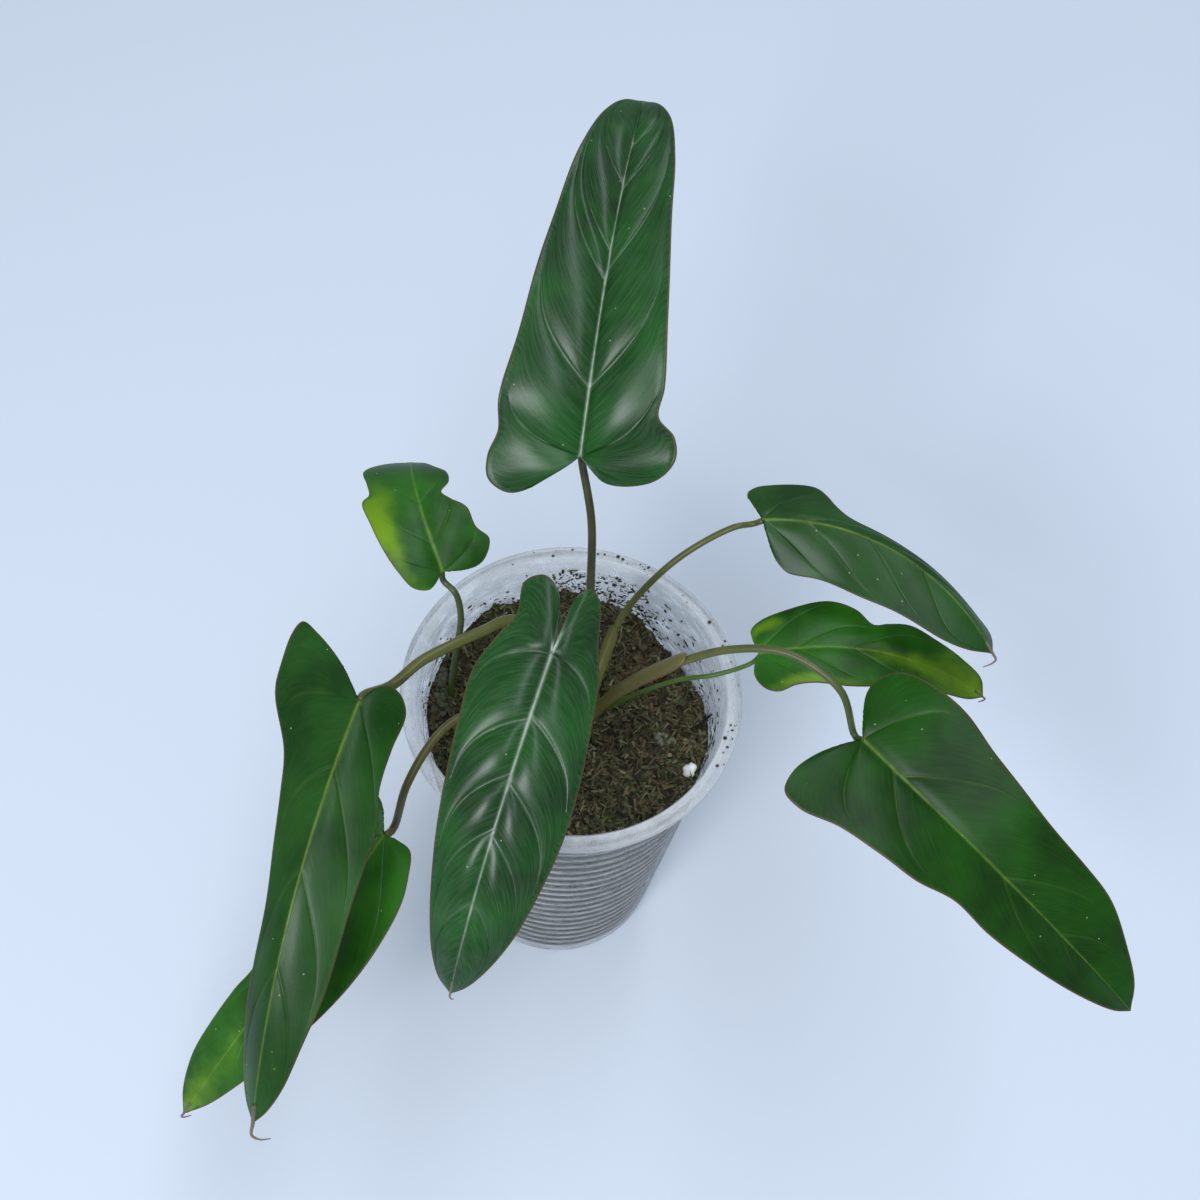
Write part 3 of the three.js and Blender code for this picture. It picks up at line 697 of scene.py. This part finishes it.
leaves = {
    "leaf_back": {
        "joint": (-4, 36, 184), "heading": 88, "rise": 50, "droop": 60, "swing": -3, "roll": -8, "twist": 5,
        "length": 106, "fold": (12, 12), "curl": (0, 0), "wave": 0.7,
        "left": [(-1.5, -1.6), (-6, -7.2), (-11, -13.4), (-12, -18), (-9, -23.2), (-3, -24), (4, -21.8),
                 (12, -22.4), (30, -19.8), (58, -16.3), (82, -13), (97, -9.3), (104, -5)],
        "right": [(-2, 2.4), (-5.5, 7), (-5.5, 13), (-2, 21.5), (4, 25.8), (9, 24.6), (13, 19.6),
                  (20, 20), (38, 18), (62, 14.8), (82, 12.5), (97, 9), (104, 4.5)],
        "veins": ([0.27, 0.44, 0.625, 0.678, 0.8], [0.27, 0.438, 0.645, 0.79, 0.88]), "quilt": 2.3,
        "young": [], "look": "deep", "slot": "deep_leaf",
    },
    "leaf_front": {
        "joint": (-5, -23, 184), "heading": -102, "rise": -10, "droop": 56, "swing": -3,
        "roll": -10, "twist": 15, "length": 91, "fold": (-8, -8), "curl": (10, 10), "wave": 0.5,
        "left": [(-3, -0.2), (-10, -0.8), (-16, -1.4), (-19, -4), (-16.5, -7.2), (-7, -10), (3, -13.4),
                 (14, -15), (28, -16.4), (42, -16.4), (56, -14.6), (70, -11.4), (82, -6.6), (88, -3)],
        "right": [(-3, 0.3), (-10, 1.4), (-15.5, 3.4), (-18.5, 7.8), (-15.5, 12), (-7, 11.2), (0, 14),
                  (9, 16.8), (21, 16.4), (38, 15), (54, 13), (70, 10.2), (82, 7), (88, 4)],
        "veins": ([0.295, 0.448, 0.578, 0.678, 0.8], [0.3, 0.452, 0.558, 0.66, 0.8]), "quilt": 2.2,
        "young": [(-0.08, 0.3, 0.1, 0.3, 0.5), (-0.08, -0.35, 0.1, 0.3, 0.35)],
        "look": "deep", "slot": "deep_leaf",
    },
    "leaf_left": {
        "joint": (-52, -28, 158), "heading": -103, "rise": -10, "droop": 43, "swing": 8,
        "roll": -5, "twist": 32, "length": 111, "fold": (-22, -22), "curl": (0, 0), "wave": 0.5,
        "left": [(-1.5, -0.8), (-5.5, -3), (-7, -6), (-6, -9.4), (-2, -12.4), (8, -12.2), (19, -12.6),
                 (29, -14.8), (44, -14.4), (62, -13.5), (73.5, -12.4), (87, -9.6), (99.5, -6.4), (107, -3)],
        "right": [(-2.5, 2.5), (-9.5, 10), (-15.5, 19.5), (-17.6, 25), (-14, 26.6), (-5, 26), (3, 24),
                  (16.5, 16), (26.5, 13.4), (40, 10.8), (54, 8.8), (70, 8.8), (83.5, 9), (100, 7), (107, 4.4)],
        "veins": plainVeins, "quilt": 0.5,
        "young": [(-0.02, -0.6, 0.12, 0.4, 0.3)], "look": "dark", "slot": "deep_leaf",
    },
    "leaf_left_lower": {
        "joint": (-45, -47, 120), "heading": -119, "rise": -16, "droop": 36, "swing": -16,
        "roll": 0, "twist": 0, "length": 98, "fold": (4, 4), "curl": (0, 0), "wave": 0.6,
        "left": [(-1, -3), (-0.6, -8.4), (5, -12.2), (11.5, -15), (20, -16.6), (29.5, -17), (45.5, -15.5),
                 (60, -12.5), (75, -8.6), (88, -4.6)],
        "right": [(-1.6, 1.2), (-7, 6), (-8, 12), (-3, 15), (6, 14), (18, 12), (34, 9.6), (49, 7.8),
                  (57, 8.6), (70, 8.6), (81.5, 7.6), (92, 4.2)],
        "veins": plainVeins, "quilt": 0.5,
        "young": [(1.02, 0, 0.28, 2, 0.75), (0.62, 0, 0.12, 0.4, 0.2)], "look": "bright", "slot": "young_leaf",
    },
    "leaf_right_back": {
        "joint": (46.5, 38.7, 161), "heading": 2.6, "rise": 11.6, "droop": 37.9, "swing": -54.6,
        "roll": 16.5, "twist": -29.2, "length": 74.7, "fold": (-30, -26), "curl": (0, 0), "wave": 0.4,
        "left": [(-1.4, -3), (-3.1, -7), (-4.4, -10), (-4, -11.6), (-2, -13.2), (0.4, -13.8), (11.6, -16),
                 (13.6, -15.4), (16, -13), (18.6, -9.6), (23, -6.2), (36, -4.8), (49.4, -4.8), (64, -5),
                 (70.6, -6)],
        "right": [(0.4, 3), (3, 10.4), (5, 12.8), (8, 14.6), (19.2, 14.8), (34.4, 15.4), (47, 13.4),
                  (63.2, 9.8), (70.4, 5.4)],
        "veins": plainVeins, "quilt": 0.4,
        "young": [(0.1, 0.9, 0.15, 0.3, 0.3)], "look": "dark", "slot": "deep_leaf",
    },
    "leaf_right_small": {
        "joint": (49.5, 9, 140), "heading": 11, "rise": 18, "droop": 52, "swing": -24, "roll": -8, "twist": 24,
        "length": 67, "fold": (3, 3), "curl": (0, 0), "wave": 0.9,
        "left": [(-0.6, -3.4), (-1.2, -7.6), (1.6, -10.4), (10, -12.6), (20, -13.8), (26.6, -11.6),
                 (31, -7.8), (35, -8.8), (40.5, -9.8), (48, -8), (57, -6), (64, -4)],
        "right": [(-1.4, 2.4), (-2, 7.4), (0.4, 12.2), (4, 14), (9, 12.4), (14, 11.8), (24, 12),
                  (34, 10.4), (44, 7), (55, 5.4), (63, 3)],
        "veins": plainVeins, "quilt": 0.45,
        "young": [(0.55, 0.1, 0.2, 0.5, 0.85), (1.0, 0, 0.26, 2, 0.95),
                  (0.05, -0.75, 0.12, 0.3, 0.75), (0.2, 0.9, 0.25, 0.25, 0.8)],
        "look": "bright", "slot": "young_leaf",
    },
    "leaf_right_front": {
        "joint": (76, -19, 150), "heading": -44, "rise": 1, "droop": 42, "swing": 20, "roll": 14, "twist": -6,
        "length": 101, "fold": (13, 13), "curl": (0, 0), "wave": 0.6,
        "left": [(-3, -3), (-7.6, -9), (-8.2, -14), (-5, -19.4), (2, -21.9), (14, -23), (27, -20.6),
                 (44, -18), (62, -16.8), (74, -15.2), (86, -10.8), (96, -5.6)],
        "right": [(-2, 4), (-4.6, 12), (-5, 20), (-2.4, 25.8), (3, 26.2), (12, 22), (24, 19.6),
                  (33, 18.2), (43, 14.6), (54, 14.8), (66, 13), (82, 9), (95, 4)],
        "veins": ([0.24, 0.418, 0.665, 0.8], [0.26, 0.392, 0.66, 0.8]), "quilt": 0.6,
        "young": [], "look": "plain", "slot": "deep_leaf",
    },
    "leaf_seedling": {
        "joint": (-38, 18, 150), "heading": 122, "rise": 36, "droop": 84, "swing": -22, "roll": 0, "twist": 0,
        "length": 45, "fold": (2, 2), "curl": (6, 6), "wave": 0.5,
        "left": [(-1.2, -1.7), (-3.4, -5), (-1.6, -9), (4, -11.6), (10, -13.2), (18, -14.4), (24.4, -15),
                 (26.4, -12.8), (31, -12.8), (37, -13.2), (42, -8)],
        "right": [(-0.8, 2), (-2, 9), (-0.4, 12.6), (4.4, 15.2), (9, 12.8), (16, 12), (20, 8.4), (23, 6.6),
                  (27, 9.4), (32, 9.4), (37, 6.4), (42, 3.6)],
        "veins": ([0.27, 0.45, 0.65], [0.27, 0.45, 0.65]), "quilt": 0.4,
        "young": [(0.3, -0.85, 0.38, 0.45, 0.9)], "look": "bright", "slot": "young_leaf",
    },
}


# the midrib as places, each with its direction, the side to the right of travel and the upward normal
def hangMidrib(leaf):
    steps = leafMesh["midribSteps"]
    places = []
    point = Vector(leaf["joint"])
    before = None
    for step in range(steps + 1):
        share = step / steps
        rise = math.radians(leaf["rise"] - leaf["droop"] * share)
        heading = math.radians(leaf["heading"] + leaf["swing"] * share)
        roll = math.radians(leaf["roll"] + leaf["twist"] * share)
        flat = Vector((math.cos(heading), math.sin(heading), 0))
        along = Vector((math.cos(rise) * flat.x, math.cos(rise) * flat.y, math.sin(rise)))
        level = Vector((math.sin(heading), -math.cos(heading), 0))
        up = level.cross(along)
        side = level * math.cos(roll) - up * math.sin(roll)
        normal = up * math.cos(roll) + level * math.sin(roll)
        if before:
            point = point + (before + along) * 0.5 * leaf["length"] / steps
        before = along
        places.append((point, along, side, normal))
    return places


def midribAt(places, leaf, along):
    last = len(places) - 1
    at = clamp(along / leaf["length"]) * last
    low = min(int(at), last - 1)
    point, forward, side, normal = [a.lerp(b, at - low) for a, b in zip(places[low], places[low + 1])]
    if along < 0:
        point = point + forward * along
    return point, forward, side, normal


# a spot of the flat blade, hung in the air: each half starts at its fold angle and curls down
def hangSpot(places, leaf, along, across):
    point, forward, side, normal = midribAt(places, leaf, along)
    half = 1 if across > 0 else 0
    reach = abs(across)
    turned = math.radians(leaf["curl"][half]) * reach / leafMesh["curlSpan"]
    mean = math.radians(leaf["fold"][half]) - turned / 2
    chord = reach * math.sin(turned / 2) / (turned / 2) if turned else reach
    ripple = math.sin(along * leafMesh["waveRate"] + half * leafMesh["waveShift"] + leaf["length"])
    waving = leaf["wave"] * (reach / leafMesh["curlSpan"]) ** 2 * ripple
    outward = math.copysign(chord * math.cos(mean), across)
    return point + side * outward + normal * (chord * math.sin(mean) + waving)


def rowStart(share, length):
    ear = leafMesh["earShare"]
    return 0 if share <= ear else length * ((share - ear) / (1 - ear)) ** leafMesh["rowPacking"]


# the grid's rows run along the lateral veins, which bend towards the tip near the margin
def rowOf(course, share):
    bent = leafMesh["veinBend"] * -math.log(1 - min(share, 0.9) / leafMesh["veinReach"])
    return course + bent * clamp(course * 1.7, 0, 1.3) * min(1, (1 - course) * 4)


# how the surface stands and how strongly rib and veins show, for a spot of the grid
def leafRelief(leaf, veins, course, share, across):
    rows = leafMesh["rows"]
    marks = [0.0] + [round(v * rows) / rows for v in veins] + [1.0]
    bulge = 0
    onVein = 0
    for low, high in zip(marks, marks[1:]):
        if low <= course < high:
            bulge = math.sin(math.pi * (course - low) / (high - low)) ** 0.6
    for v in marks[1:-1]:
        onVein = max(onVein, 1 - abs(course - v) * rows / leafMesh["veinRows"])
    envelope = math.sin(math.pi * clamp(share / 0.95) ** 0.7)
    fromRib = abs(across)
    fade = clamp((0.93 - share) / 0.3)
    onRib = bell(fromRib, mix(0.55, 0.18, course)) * mix(1, 0.5, course)
    look = leafLooks[leaf["look"]]
    height = leaf["quilt"] * bulge * envelope * (1 - 0.6 * course)
    height += 0.14 * onRib - 0.55 * bell(fromRib, 2.0) * (1 - 0.7 * course)
    height -= 0.16 * onVein * fade * (1 - 0.5 * course)
    shown = max(look["ribShare"] * onRib, look["veinShare"] * onVein * fade * (1 - 0.55 * course))
    return height, clamp(shown)


# yellow-green patches: place along, place across, how far each way and how strong
def youngShare(leaf, alongShare, signedShare):
    total = 0
    for along, across, spanAlong, spanAcross, strength in leaf["young"]:
        total += strength * bell(alongShare - along, spanAlong) * bell(signedShare - across, spanAcross)
    return clamp(total)


def makeLeaf(name, leaf, material):
    rows, columns = leafMesh["rows"], leafMesh["columns"]
    places = hangMidrib(leaf)
    tip = (leaf["length"], 0)
    fine = rows * leafMesh["marginFineness"]
    margins = {-1: smoothLine(leaf["left"] + [tip], fine), 1: smoothLine(leaf["right"] + [tip], fine)}
    bm = bmesh.new()
    bmesh.ops.create_grid(bm, x_segments=columns, y_segments=rows, size=1)
    marks = bm.verts.layers.float_color.new("leafMarks")
    reliefs = {}
    spots = {}
    for vert in bm.verts:
        course = (vert.co.y + 1) / 2
        half = -1 if vert.co.x < 0 else 1
        share = abs(vert.co.x) ** leafMesh["columnPacking"]
        row = rowOf(course, share)
        margin = margins[half][min(fine, round(row * fine))]
        start = rowStart(row, leaf["length"])
        along = mix(start, margin.x, share)
        across = margin.y * share
        reach = math.hypot(margin.x - start, margin.y)
        veins = leaf["veins"][0 if half < 0 else 1]
        height, vein = leafRelief(leaf, veins, course, share, across)
        fade = clamp(reach / 3) * clamp((course - 0.02) / 0.08)
        edge = bell((1 - share) * reach, 0.3)
        young = youngShare(leaf, along / leaf["length"], half * share)
        vert[marks] = (vein, edge, young, 1)
        vert.co = hangSpot(places, leaf, along, across)
        reliefs[vert] = height * fade
        spots[vert] = (course, half * share)
    bm.normal_update()
    upward = sum((f.normal * f.calc_area() for f in bm.faces), Vector())
    middleNormal = places[len(places) // 3][3]
    if upward.dot(middleNormal) < 0:
        bmesh.ops.reverse_faces(bm, faces=bm.faces)
        bm.normal_update()
    # where the notch doubles back, the slivers that face down go
    seat = places[0][3]
    slivers = [f for f in bm.faces
               if f.normal.dot(seat) < leafMesh["sliverTilt"]
               and max(spots[v][0] for v in f.verts) < leafMesh["earShare"]]
    bmesh.ops.delete(bm, geom=slivers, context="FACES")
    for vert in bm.verts:
        vert.co = (vert.co + vert.normal * reliefs[vert]) * mm
    flat = bm.loops.layers.uv.new("vein map")
    for face in bm.faces:
        for loop in face.loops:
            loop[flat].uv = spots[loop.vert]
    bmesh.ops.remove_doubles(bm, verts=bm.verts, dist=leafMesh["mergeReach"] * mm)
    piece = finishPiece(name + "_blade", bm, material, [name])
    thick = piece.modifiers.new("blade thickness", "SOLIDIFY")
    thick.thickness = leafMesh["thickness"] * mm
    thick.offset = 0
    return piece


# Petioles

petioleMesh = {"sides": 16, "step": 1.6, "seatDepth": 1.15, "kneeDrop": 3.7, "kneeBack": 2.8,
               "flatness": 0.94}
sheathMesh = {"along": 40, "around": 16, "tipStart": 0.86, "taper": 0.72, "lift": 0.35,
              "tipLift": 0.5, "sag": 1.5, "thickness": 0.35, "edge": "#5a3a26"}

petioles = {
    "leaf_back": {
        "through": [(3, 3, 109), (3, 12, 128), (2, 20, 149), (0.4, 28.5, 167)],
        "radius": (1.3, 1.05), "sheath": (2.8, 0.38), "tints": ["#4c4426", "#141f12"],
    },
    "leaf_front": {
        "through": [(0, -1, 110), (-4, 1, 138), (-6, 0, 165), (-6.2, -10.5, 178)],
        "radius": (1.6, 1.2), "sheath": (2.6, 0.4), "tints": ["#4d4f26", "#3f4f20"],
    },
    "leaf_left": {
        "through": [(-1, 0, 110), (-9, 8, 132), (-17.3, 9.4, 143), (-25.8, 2, 147), (-32.8, -4.2, 149),
                    (-39.8, -10.2, 149.5), (-46, -17, 148)],
        "radius": (1.65, 1.4), "sheath": (2.6, 0.25), "tints": ["#6a6a30", "#4c5420"],
    },
    "leaf_left_lower": {
        "through": [(-1, -2, 110), (-12, -7, 124), (-22, -12, 131), (-30, -17.6, 133), (-35.5, -25.6, 133),
                    (-40.2, -36, 129)],
        "radius": (1.3, 1.1), "sheath": (2.2, 0.3), "tints": ["#5c5524", "#4a4a20"],
    },
    "leaf_right_back": {
        "through": [(4, 1, 110), (7, 11, 120), (11.7, 22.2, 130), (21.9, 29.7, 145), (30.6, 34.8, 151.5),
                    (39.4, 37.6, 157.5)],
        "radius": (1.1, 0.85), "sheath": (2.7, 0.33), "tints": ["#66682f", "#4a5420"],
    },
    "leaf_right_small": {
        "through": [(5, -1, 109.5), (16, 2, 120), (29, 4.8, 128), (39, 5, 133)],
        "radius": (0.75, 0.65), "sheath": (0, 0), "tints": ["#3f6a1c", "#3f6a1c"],
    },
    "leaf_right_front": {
        "through": [(5, -2, 110), (13, -1.5, 129), (24, -0.3, 142.5), (40, 0.6, 154.5), (55, -2, 160),
                    (68.6, -9.6, 157.6)],
        "radius": (1.35, 0.95), "sheath": (3.9, 0.43), "tints": ["#6a6436", "#2f4a1c"],
    },
}
seedlingPetiole = {
    "through": [(-34.5, 2, 90), (-34.4, 2.4, 112), (-33.4, 8, 125), (-32.6, 12.6, 136), (-34.4, 15.4, 144)],
    "radius": (1.1, 0.85), "tints": ["#4c5a2c", "#3f4a24"], "step": 1.2,
}
crown = {"place": (1, 0), "heights": (84.0, 96.0, 106.0, 115.0, 118.0), "radius": (4.8, 4.8 * 0.55),
         "tints": ["#6b5b3a", "#5e5f33"], "step": 1.5}


def petiolePath(petiole, leaf):
    point, forward, _, normal = hangMidrib(leaf)[0]
    end = point - normal * petioleMesh["seatDepth"]
    knee = point - normal * petioleMesh["kneeDrop"] - forward * petioleMesh["kneeBack"]
    return [Vector(p) for p in petiole["through"]] + [knee, end]


# where each ring of a swept stem stands: its centre, two cross directions and how far along it is
def sweepFrames(path, level, step):
    length = sum((b - a).length for a, b in zip(path, path[1:]))
    count = max(6, round(length / step))
    centres = smoothLine(path, count)
    frames = []
    for i, centre in enumerate(centres):
        tangent = (centres[min(i + 1, count)] - centres[max(i - 1, 0)]).normalized()
        side = (level - tangent * level.dot(tangent)).normalized()
        frames.append((centre, side, side.cross(tangent), tangent, i / count))
    return frames


def levelOf(path):
    span = path[-1] - path[0]
    return Vector((span.y, -span.x, 0)).normalized()


def ringMatrix(centre, side, normal, tangent, wide, deep):
    columns = [side * wide, normal * deep, tangent, centre]
    rows = [[c[i] for c in columns] for i in range(3)] + [[0, 0, 0, 1]]
    return Matrix(rows)


def sweepTube(bm, tintLayer, frames, radii, tints):
    widths = [mix(radii[0], radii[1], frame[4]) for frame in frames]
    matrices = [ringMatrix(*frame[:4], width, width * petioleMesh["flatness"])
                for frame, width in zip(frames, widths)]
    made = bmesh.ops.create_circle(bm, cap_ends=True, segments=petioleMesh["sides"], radius=1,
                                   matrix=matrices[0])
    verts = made["verts"]
    edges = list({edge for vert in verts for edge in vert.link_edges})
    first, last = linear(tints[0]), linear(tints[1])
    for vert in verts:
        vert[tintLayer] = first
    for before, after, where in zip(matrices, matrices[1:], frames[1:]):
        grown = bmesh.ops.extrude_edge_only(bm, edges=edges)["geom"]
        verts = [g for g in grown if isinstance(g, bmesh.types.BMVert)]
        edges = [g for g in grown if isinstance(g, bmesh.types.BMEdge)]
        bmesh.ops.transform(bm, matrix=after @ before.inverted(), verts=verts)
        share = where[4]
        for vert in verts:
            vert[tintLayer] = [mix(a, b, share) for a, b in zip(first, last)]
    bmesh.ops.contextual_create(bm, geom=edges)


# the sheath: a thin band that closes over the petiole's foot and ends in a rounded free tip
def addSheath(bm, tintLayer, frames, petiole):
    width, reach = petiole["sheath"]
    if not reach:
        return
    made = bmesh.ops.create_grid(bm, x_segments=sheathMesh["around"],
                                 y_segments=sheathMesh["along"], size=1)
    colour, brown = linear(petiole["tints"][0]), linear(sheathMesh["edge"])
    last = len(frames) - 1
    for vert in made["verts"]:
        across, share = vert.co.x, (vert.co.y + 1) / 2
        at = share * reach * last
        low = min(int(at), last - 1)
        centre, side, normal = [a.lerp(b, at - low)
                                for a, b in zip(frames[low][:3], frames[low + 1][:3])]
        closing = (1 - clamp((share - sheathMesh["tipStart"]) / 0.14) ** 2) ** 0.5
        halfWidth = mix(width, width * sheathMesh["taper"], share) * closing
        rising = sheathMesh["tipLift"] * clamp((share - 0.8) / 0.2)
        crownHeight = petiole["radius"][0] + sheathMesh["lift"] + rising
        sag = sheathMesh["sag"] * abs(across) ** 2.2 * closing
        vert.co = centre + side * across * halfWidth + normal * (crownHeight - sag)
        edge = clamp((abs(across) - 0.86) / 0.14)
        vert[tintLayer] = [mix(a, b, 0.8 * edge) for a, b in zip(colour, brown)]


def makeStems(material, seedlingMaterial):
    bm, tint = startTinted("stemTint")
    sheaths, sheathTint = startTinted("stemTint")
    for name, petiole in petioles.items():
        path = petiolePath(petiole, leaves[name])
        frames = sweepFrames(path, levelOf(path), petioleMesh["step"])
        sweepTube(bm, tint, frames, petiole["radius"], petiole["tints"])
        addSheath(sheaths, sheathTint, frames, petiole)
    trunk = [Vector((*crown["place"], height)) for height in crown["heights"]]
    frames = sweepFrames(trunk, Vector((1, 0, 0)), crown["step"])
    sweepTube(bm, tint, frames, crown["radius"], crown["tints"])
    scaleToMetres(bm)
    scaleToMetres(sheaths)
    finishPiece("petioles", bm, material, ["stem"])
    clasp = finishPiece("sheaths", sheaths, material)
    thick = clasp.modifiers.new("sheath thickness", "SOLIDIFY")
    thick.thickness = sheathMesh["thickness"] * mm
    bm, tint = startTinted("stemTint")
    path = petiolePath(seedlingPetiole, leaves["leaf_seedling"])
    frames = sweepFrames(path, levelOf(path), seedlingPetiole["step"])
    sweepTube(bm, tint, frames, seedlingPetiole["radius"], seedlingPetiole["tints"])
    scaleToMetres(bm)
    finishPiece("seedlingPetiole", bm, seedlingMaterial, ["seedling_stem"])
    print("stems made")


# dried drip tips at the ends of the blades: thin tails that bend away
dripTips = {
    "leaf_left": {"bend": (0.6, 0, 0.1), "length": 11.0, "radius": 0.75},
    "leaf_left_lower": {"bend": (0.8, 0.2, 0.2), "length": 4.5, "radius": 0.6},
    "leaf_front": {"bend": (0.3, 0, -0.4), "length": 4.0, "radius": 0.6},
    "leaf_right_back": {"bend": (-0.8, -0.3, -0.6), "length": 5.0, "radius": 0.55},
    "leaf_right_small": {"bend": (-0.8, -0.2, -0.5), "length": 3.0, "radius": 0.45},
}


def makeDripTips(material):
    bm, tint = startTinted("stemTint")
    for name, tail in dripTips.items():
        places = hangMidrib(leaves[name])
        point, forward = places[-1][:2]
        start = places[-4][0]
        bend = Vector(tail["bend"])
        path = [start, point, point + forward * tail["length"] * 0.35,
                point + (forward * 0.6 + bend * 0.4) * tail["length"] * 0.75,
                point + (forward * 0.35 + bend * 0.65) * tail["length"] * 1.15]
        frames = sweepFrames(path, levelOf(path), 0.5)
        sweepTube(bm, tint, frames, (tail["radius"], 0.14), ["#3d4a2a", "#8a776c"])
    scaleToMetres(bm)
    finishPiece("dripTips", bm, material)
    print("drip tips made")


makeCup(makeCupMaterial())
makeSoil(makeSoilMaterial())
shredMaterial = makeShredMaterial("driedSphagnumShreds", 0.85)
makeShreds(shredMaterial)
makeSoilBits(shredMaterial)
makeWallCrumbs(shredMaterial)

leafMaterials = {
    "deep": makeLeafMaterial("waxyLeafDeep", leafLooks["deep"], 0.3),
    "plain": makeLeafMaterial("waxyLeafPlain", leafLooks["plain"], 0.36),
    "dark": makeLeafMaterial("waxyLeafDark", leafLooks["dark"], 0.34),
    "bright": makeLeafMaterial("waxyLeafYoung", leafLooks["bright"], 0.38),
}
for name, leaf in leaves.items():
    makeLeaf(name, leaf, leafMaterials[leaf["look"]])
    print(name, "made")

stemMaterial = makeStemMaterial("grownPetiole", [(0.3, "#4a4a24"), (0.5, "#62622f"), (0.7, "#7d7a45")])
seedlingMaterial = makeStemMaterial("grownSeedlingPetiole", [(0.35, "#38451f"), (0.65, "#59672f")])
makeStems(stemMaterial, seedlingMaterial)
makeDripTips(makeStemMaterial("driedLeafTip", [(0.3, "#6f5f54"), (0.7, "#a08e84")], 0.6))


# Stage: pale floor, soft light from the upper left and a camera at the photo's place

stage = {
    "floorHalf": 6.0,
    "floorColour": "#dbe4ee",
    "skyColour": "#dde8f6",
    "skyStrength": 0.46,
    "cameraPlace": (5.0, -204.0, 500.7),
    "cameraPitch": 58.1,
    "cameraRoll": 6.2,
    "cameraLens": 46.2,
    "cameraSensor": 36.0,
}


def makeStage():
    bm = bmesh.new()
    bmesh.ops.create_grid(bm, x_segments=1, y_segments=1, size=stage["floorHalf"])
    mesh = bpy.data.meshes.new("floor")
    bm.to_mesh(mesh)
    bm.free()
    floor = bpy.data.objects.new("floor", mesh)
    bpy.context.scene.collection.objects.link(floor)
    look = {"Base Color": linear(stage["floorColour"]), "Roughness": 0.8}
    mesh.materials.append(startMaterial("paintedFloor", look)[0])
    world = bpy.data.worlds.new("softStudio")
    world.use_nodes = True
    background = world.node_tree.nodes["Background"]
    background.inputs["Color"].default_value = linear(stage["skyColour"])
    background.inputs["Strength"].default_value = stage["skyStrength"]
    bpy.context.scene.world = world
    bpy.context.scene.view_settings.view_transform = "Standard"


def addSoftbox(name, place, target, size, power, colour):
    data = bpy.data.lights.new(name, "AREA")
    data.shape = "RECTANGLE"
    data.size, data.size_y = size
    data.energy = power
    data.color = linear(colour)[:3]
    lamp = bpy.data.objects.new(name, data)
    lamp.location = place
    lamp.rotation_mode = "QUATERNION"
    lamp.rotation_quaternion = (Vector(target) - Vector(place)).to_track_quat("-Z", "Y")
    bpy.context.scene.collection.objects.link(lamp)


def makeCamera():
    pitch = math.radians(stage["cameraPitch"])
    roll = math.radians(stage["cameraRoll"])
    forward = Vector((0, math.cos(pitch), -math.sin(pitch)))
    level = Vector((1, 0, 0))
    up = level.cross(forward)
    right = level * math.cos(roll) + up * math.sin(roll)
    top = up * math.cos(roll) - level * math.sin(roll)
    data = bpy.data.cameras.new("photoCamera")
    data.sensor_width = stage["cameraSensor"]
    data.lens = stage["cameraLens"]
    data.clip_start = 0.01
    data.clip_end = 20
    camera = bpy.data.objects.new("photoCamera", data)
    axes = [right, top, -forward, Vector(stage["cameraPlace"]) * mm]
    camera.matrix_world = Matrix([[a[i] for a in axes] for i in range(3)] + [[0, 0, 0, 1]])
    bpy.context.scene.collection.objects.link(camera)
    bpy.context.scene.camera = camera


makeStage()
addSoftbox("frontWindow", (-0.5, -1.05, 1.1), (0, 0, 0.1), (0.5, 0.5), 12.5, "#f6f9ff")
addSoftbox("topStrip", (0.2, 0.2, 1.4), (0.2, 0.2, 0.1), (0.3, 2.4), 10.5, "#eef4ff")
makeCamera()
print("stage made")
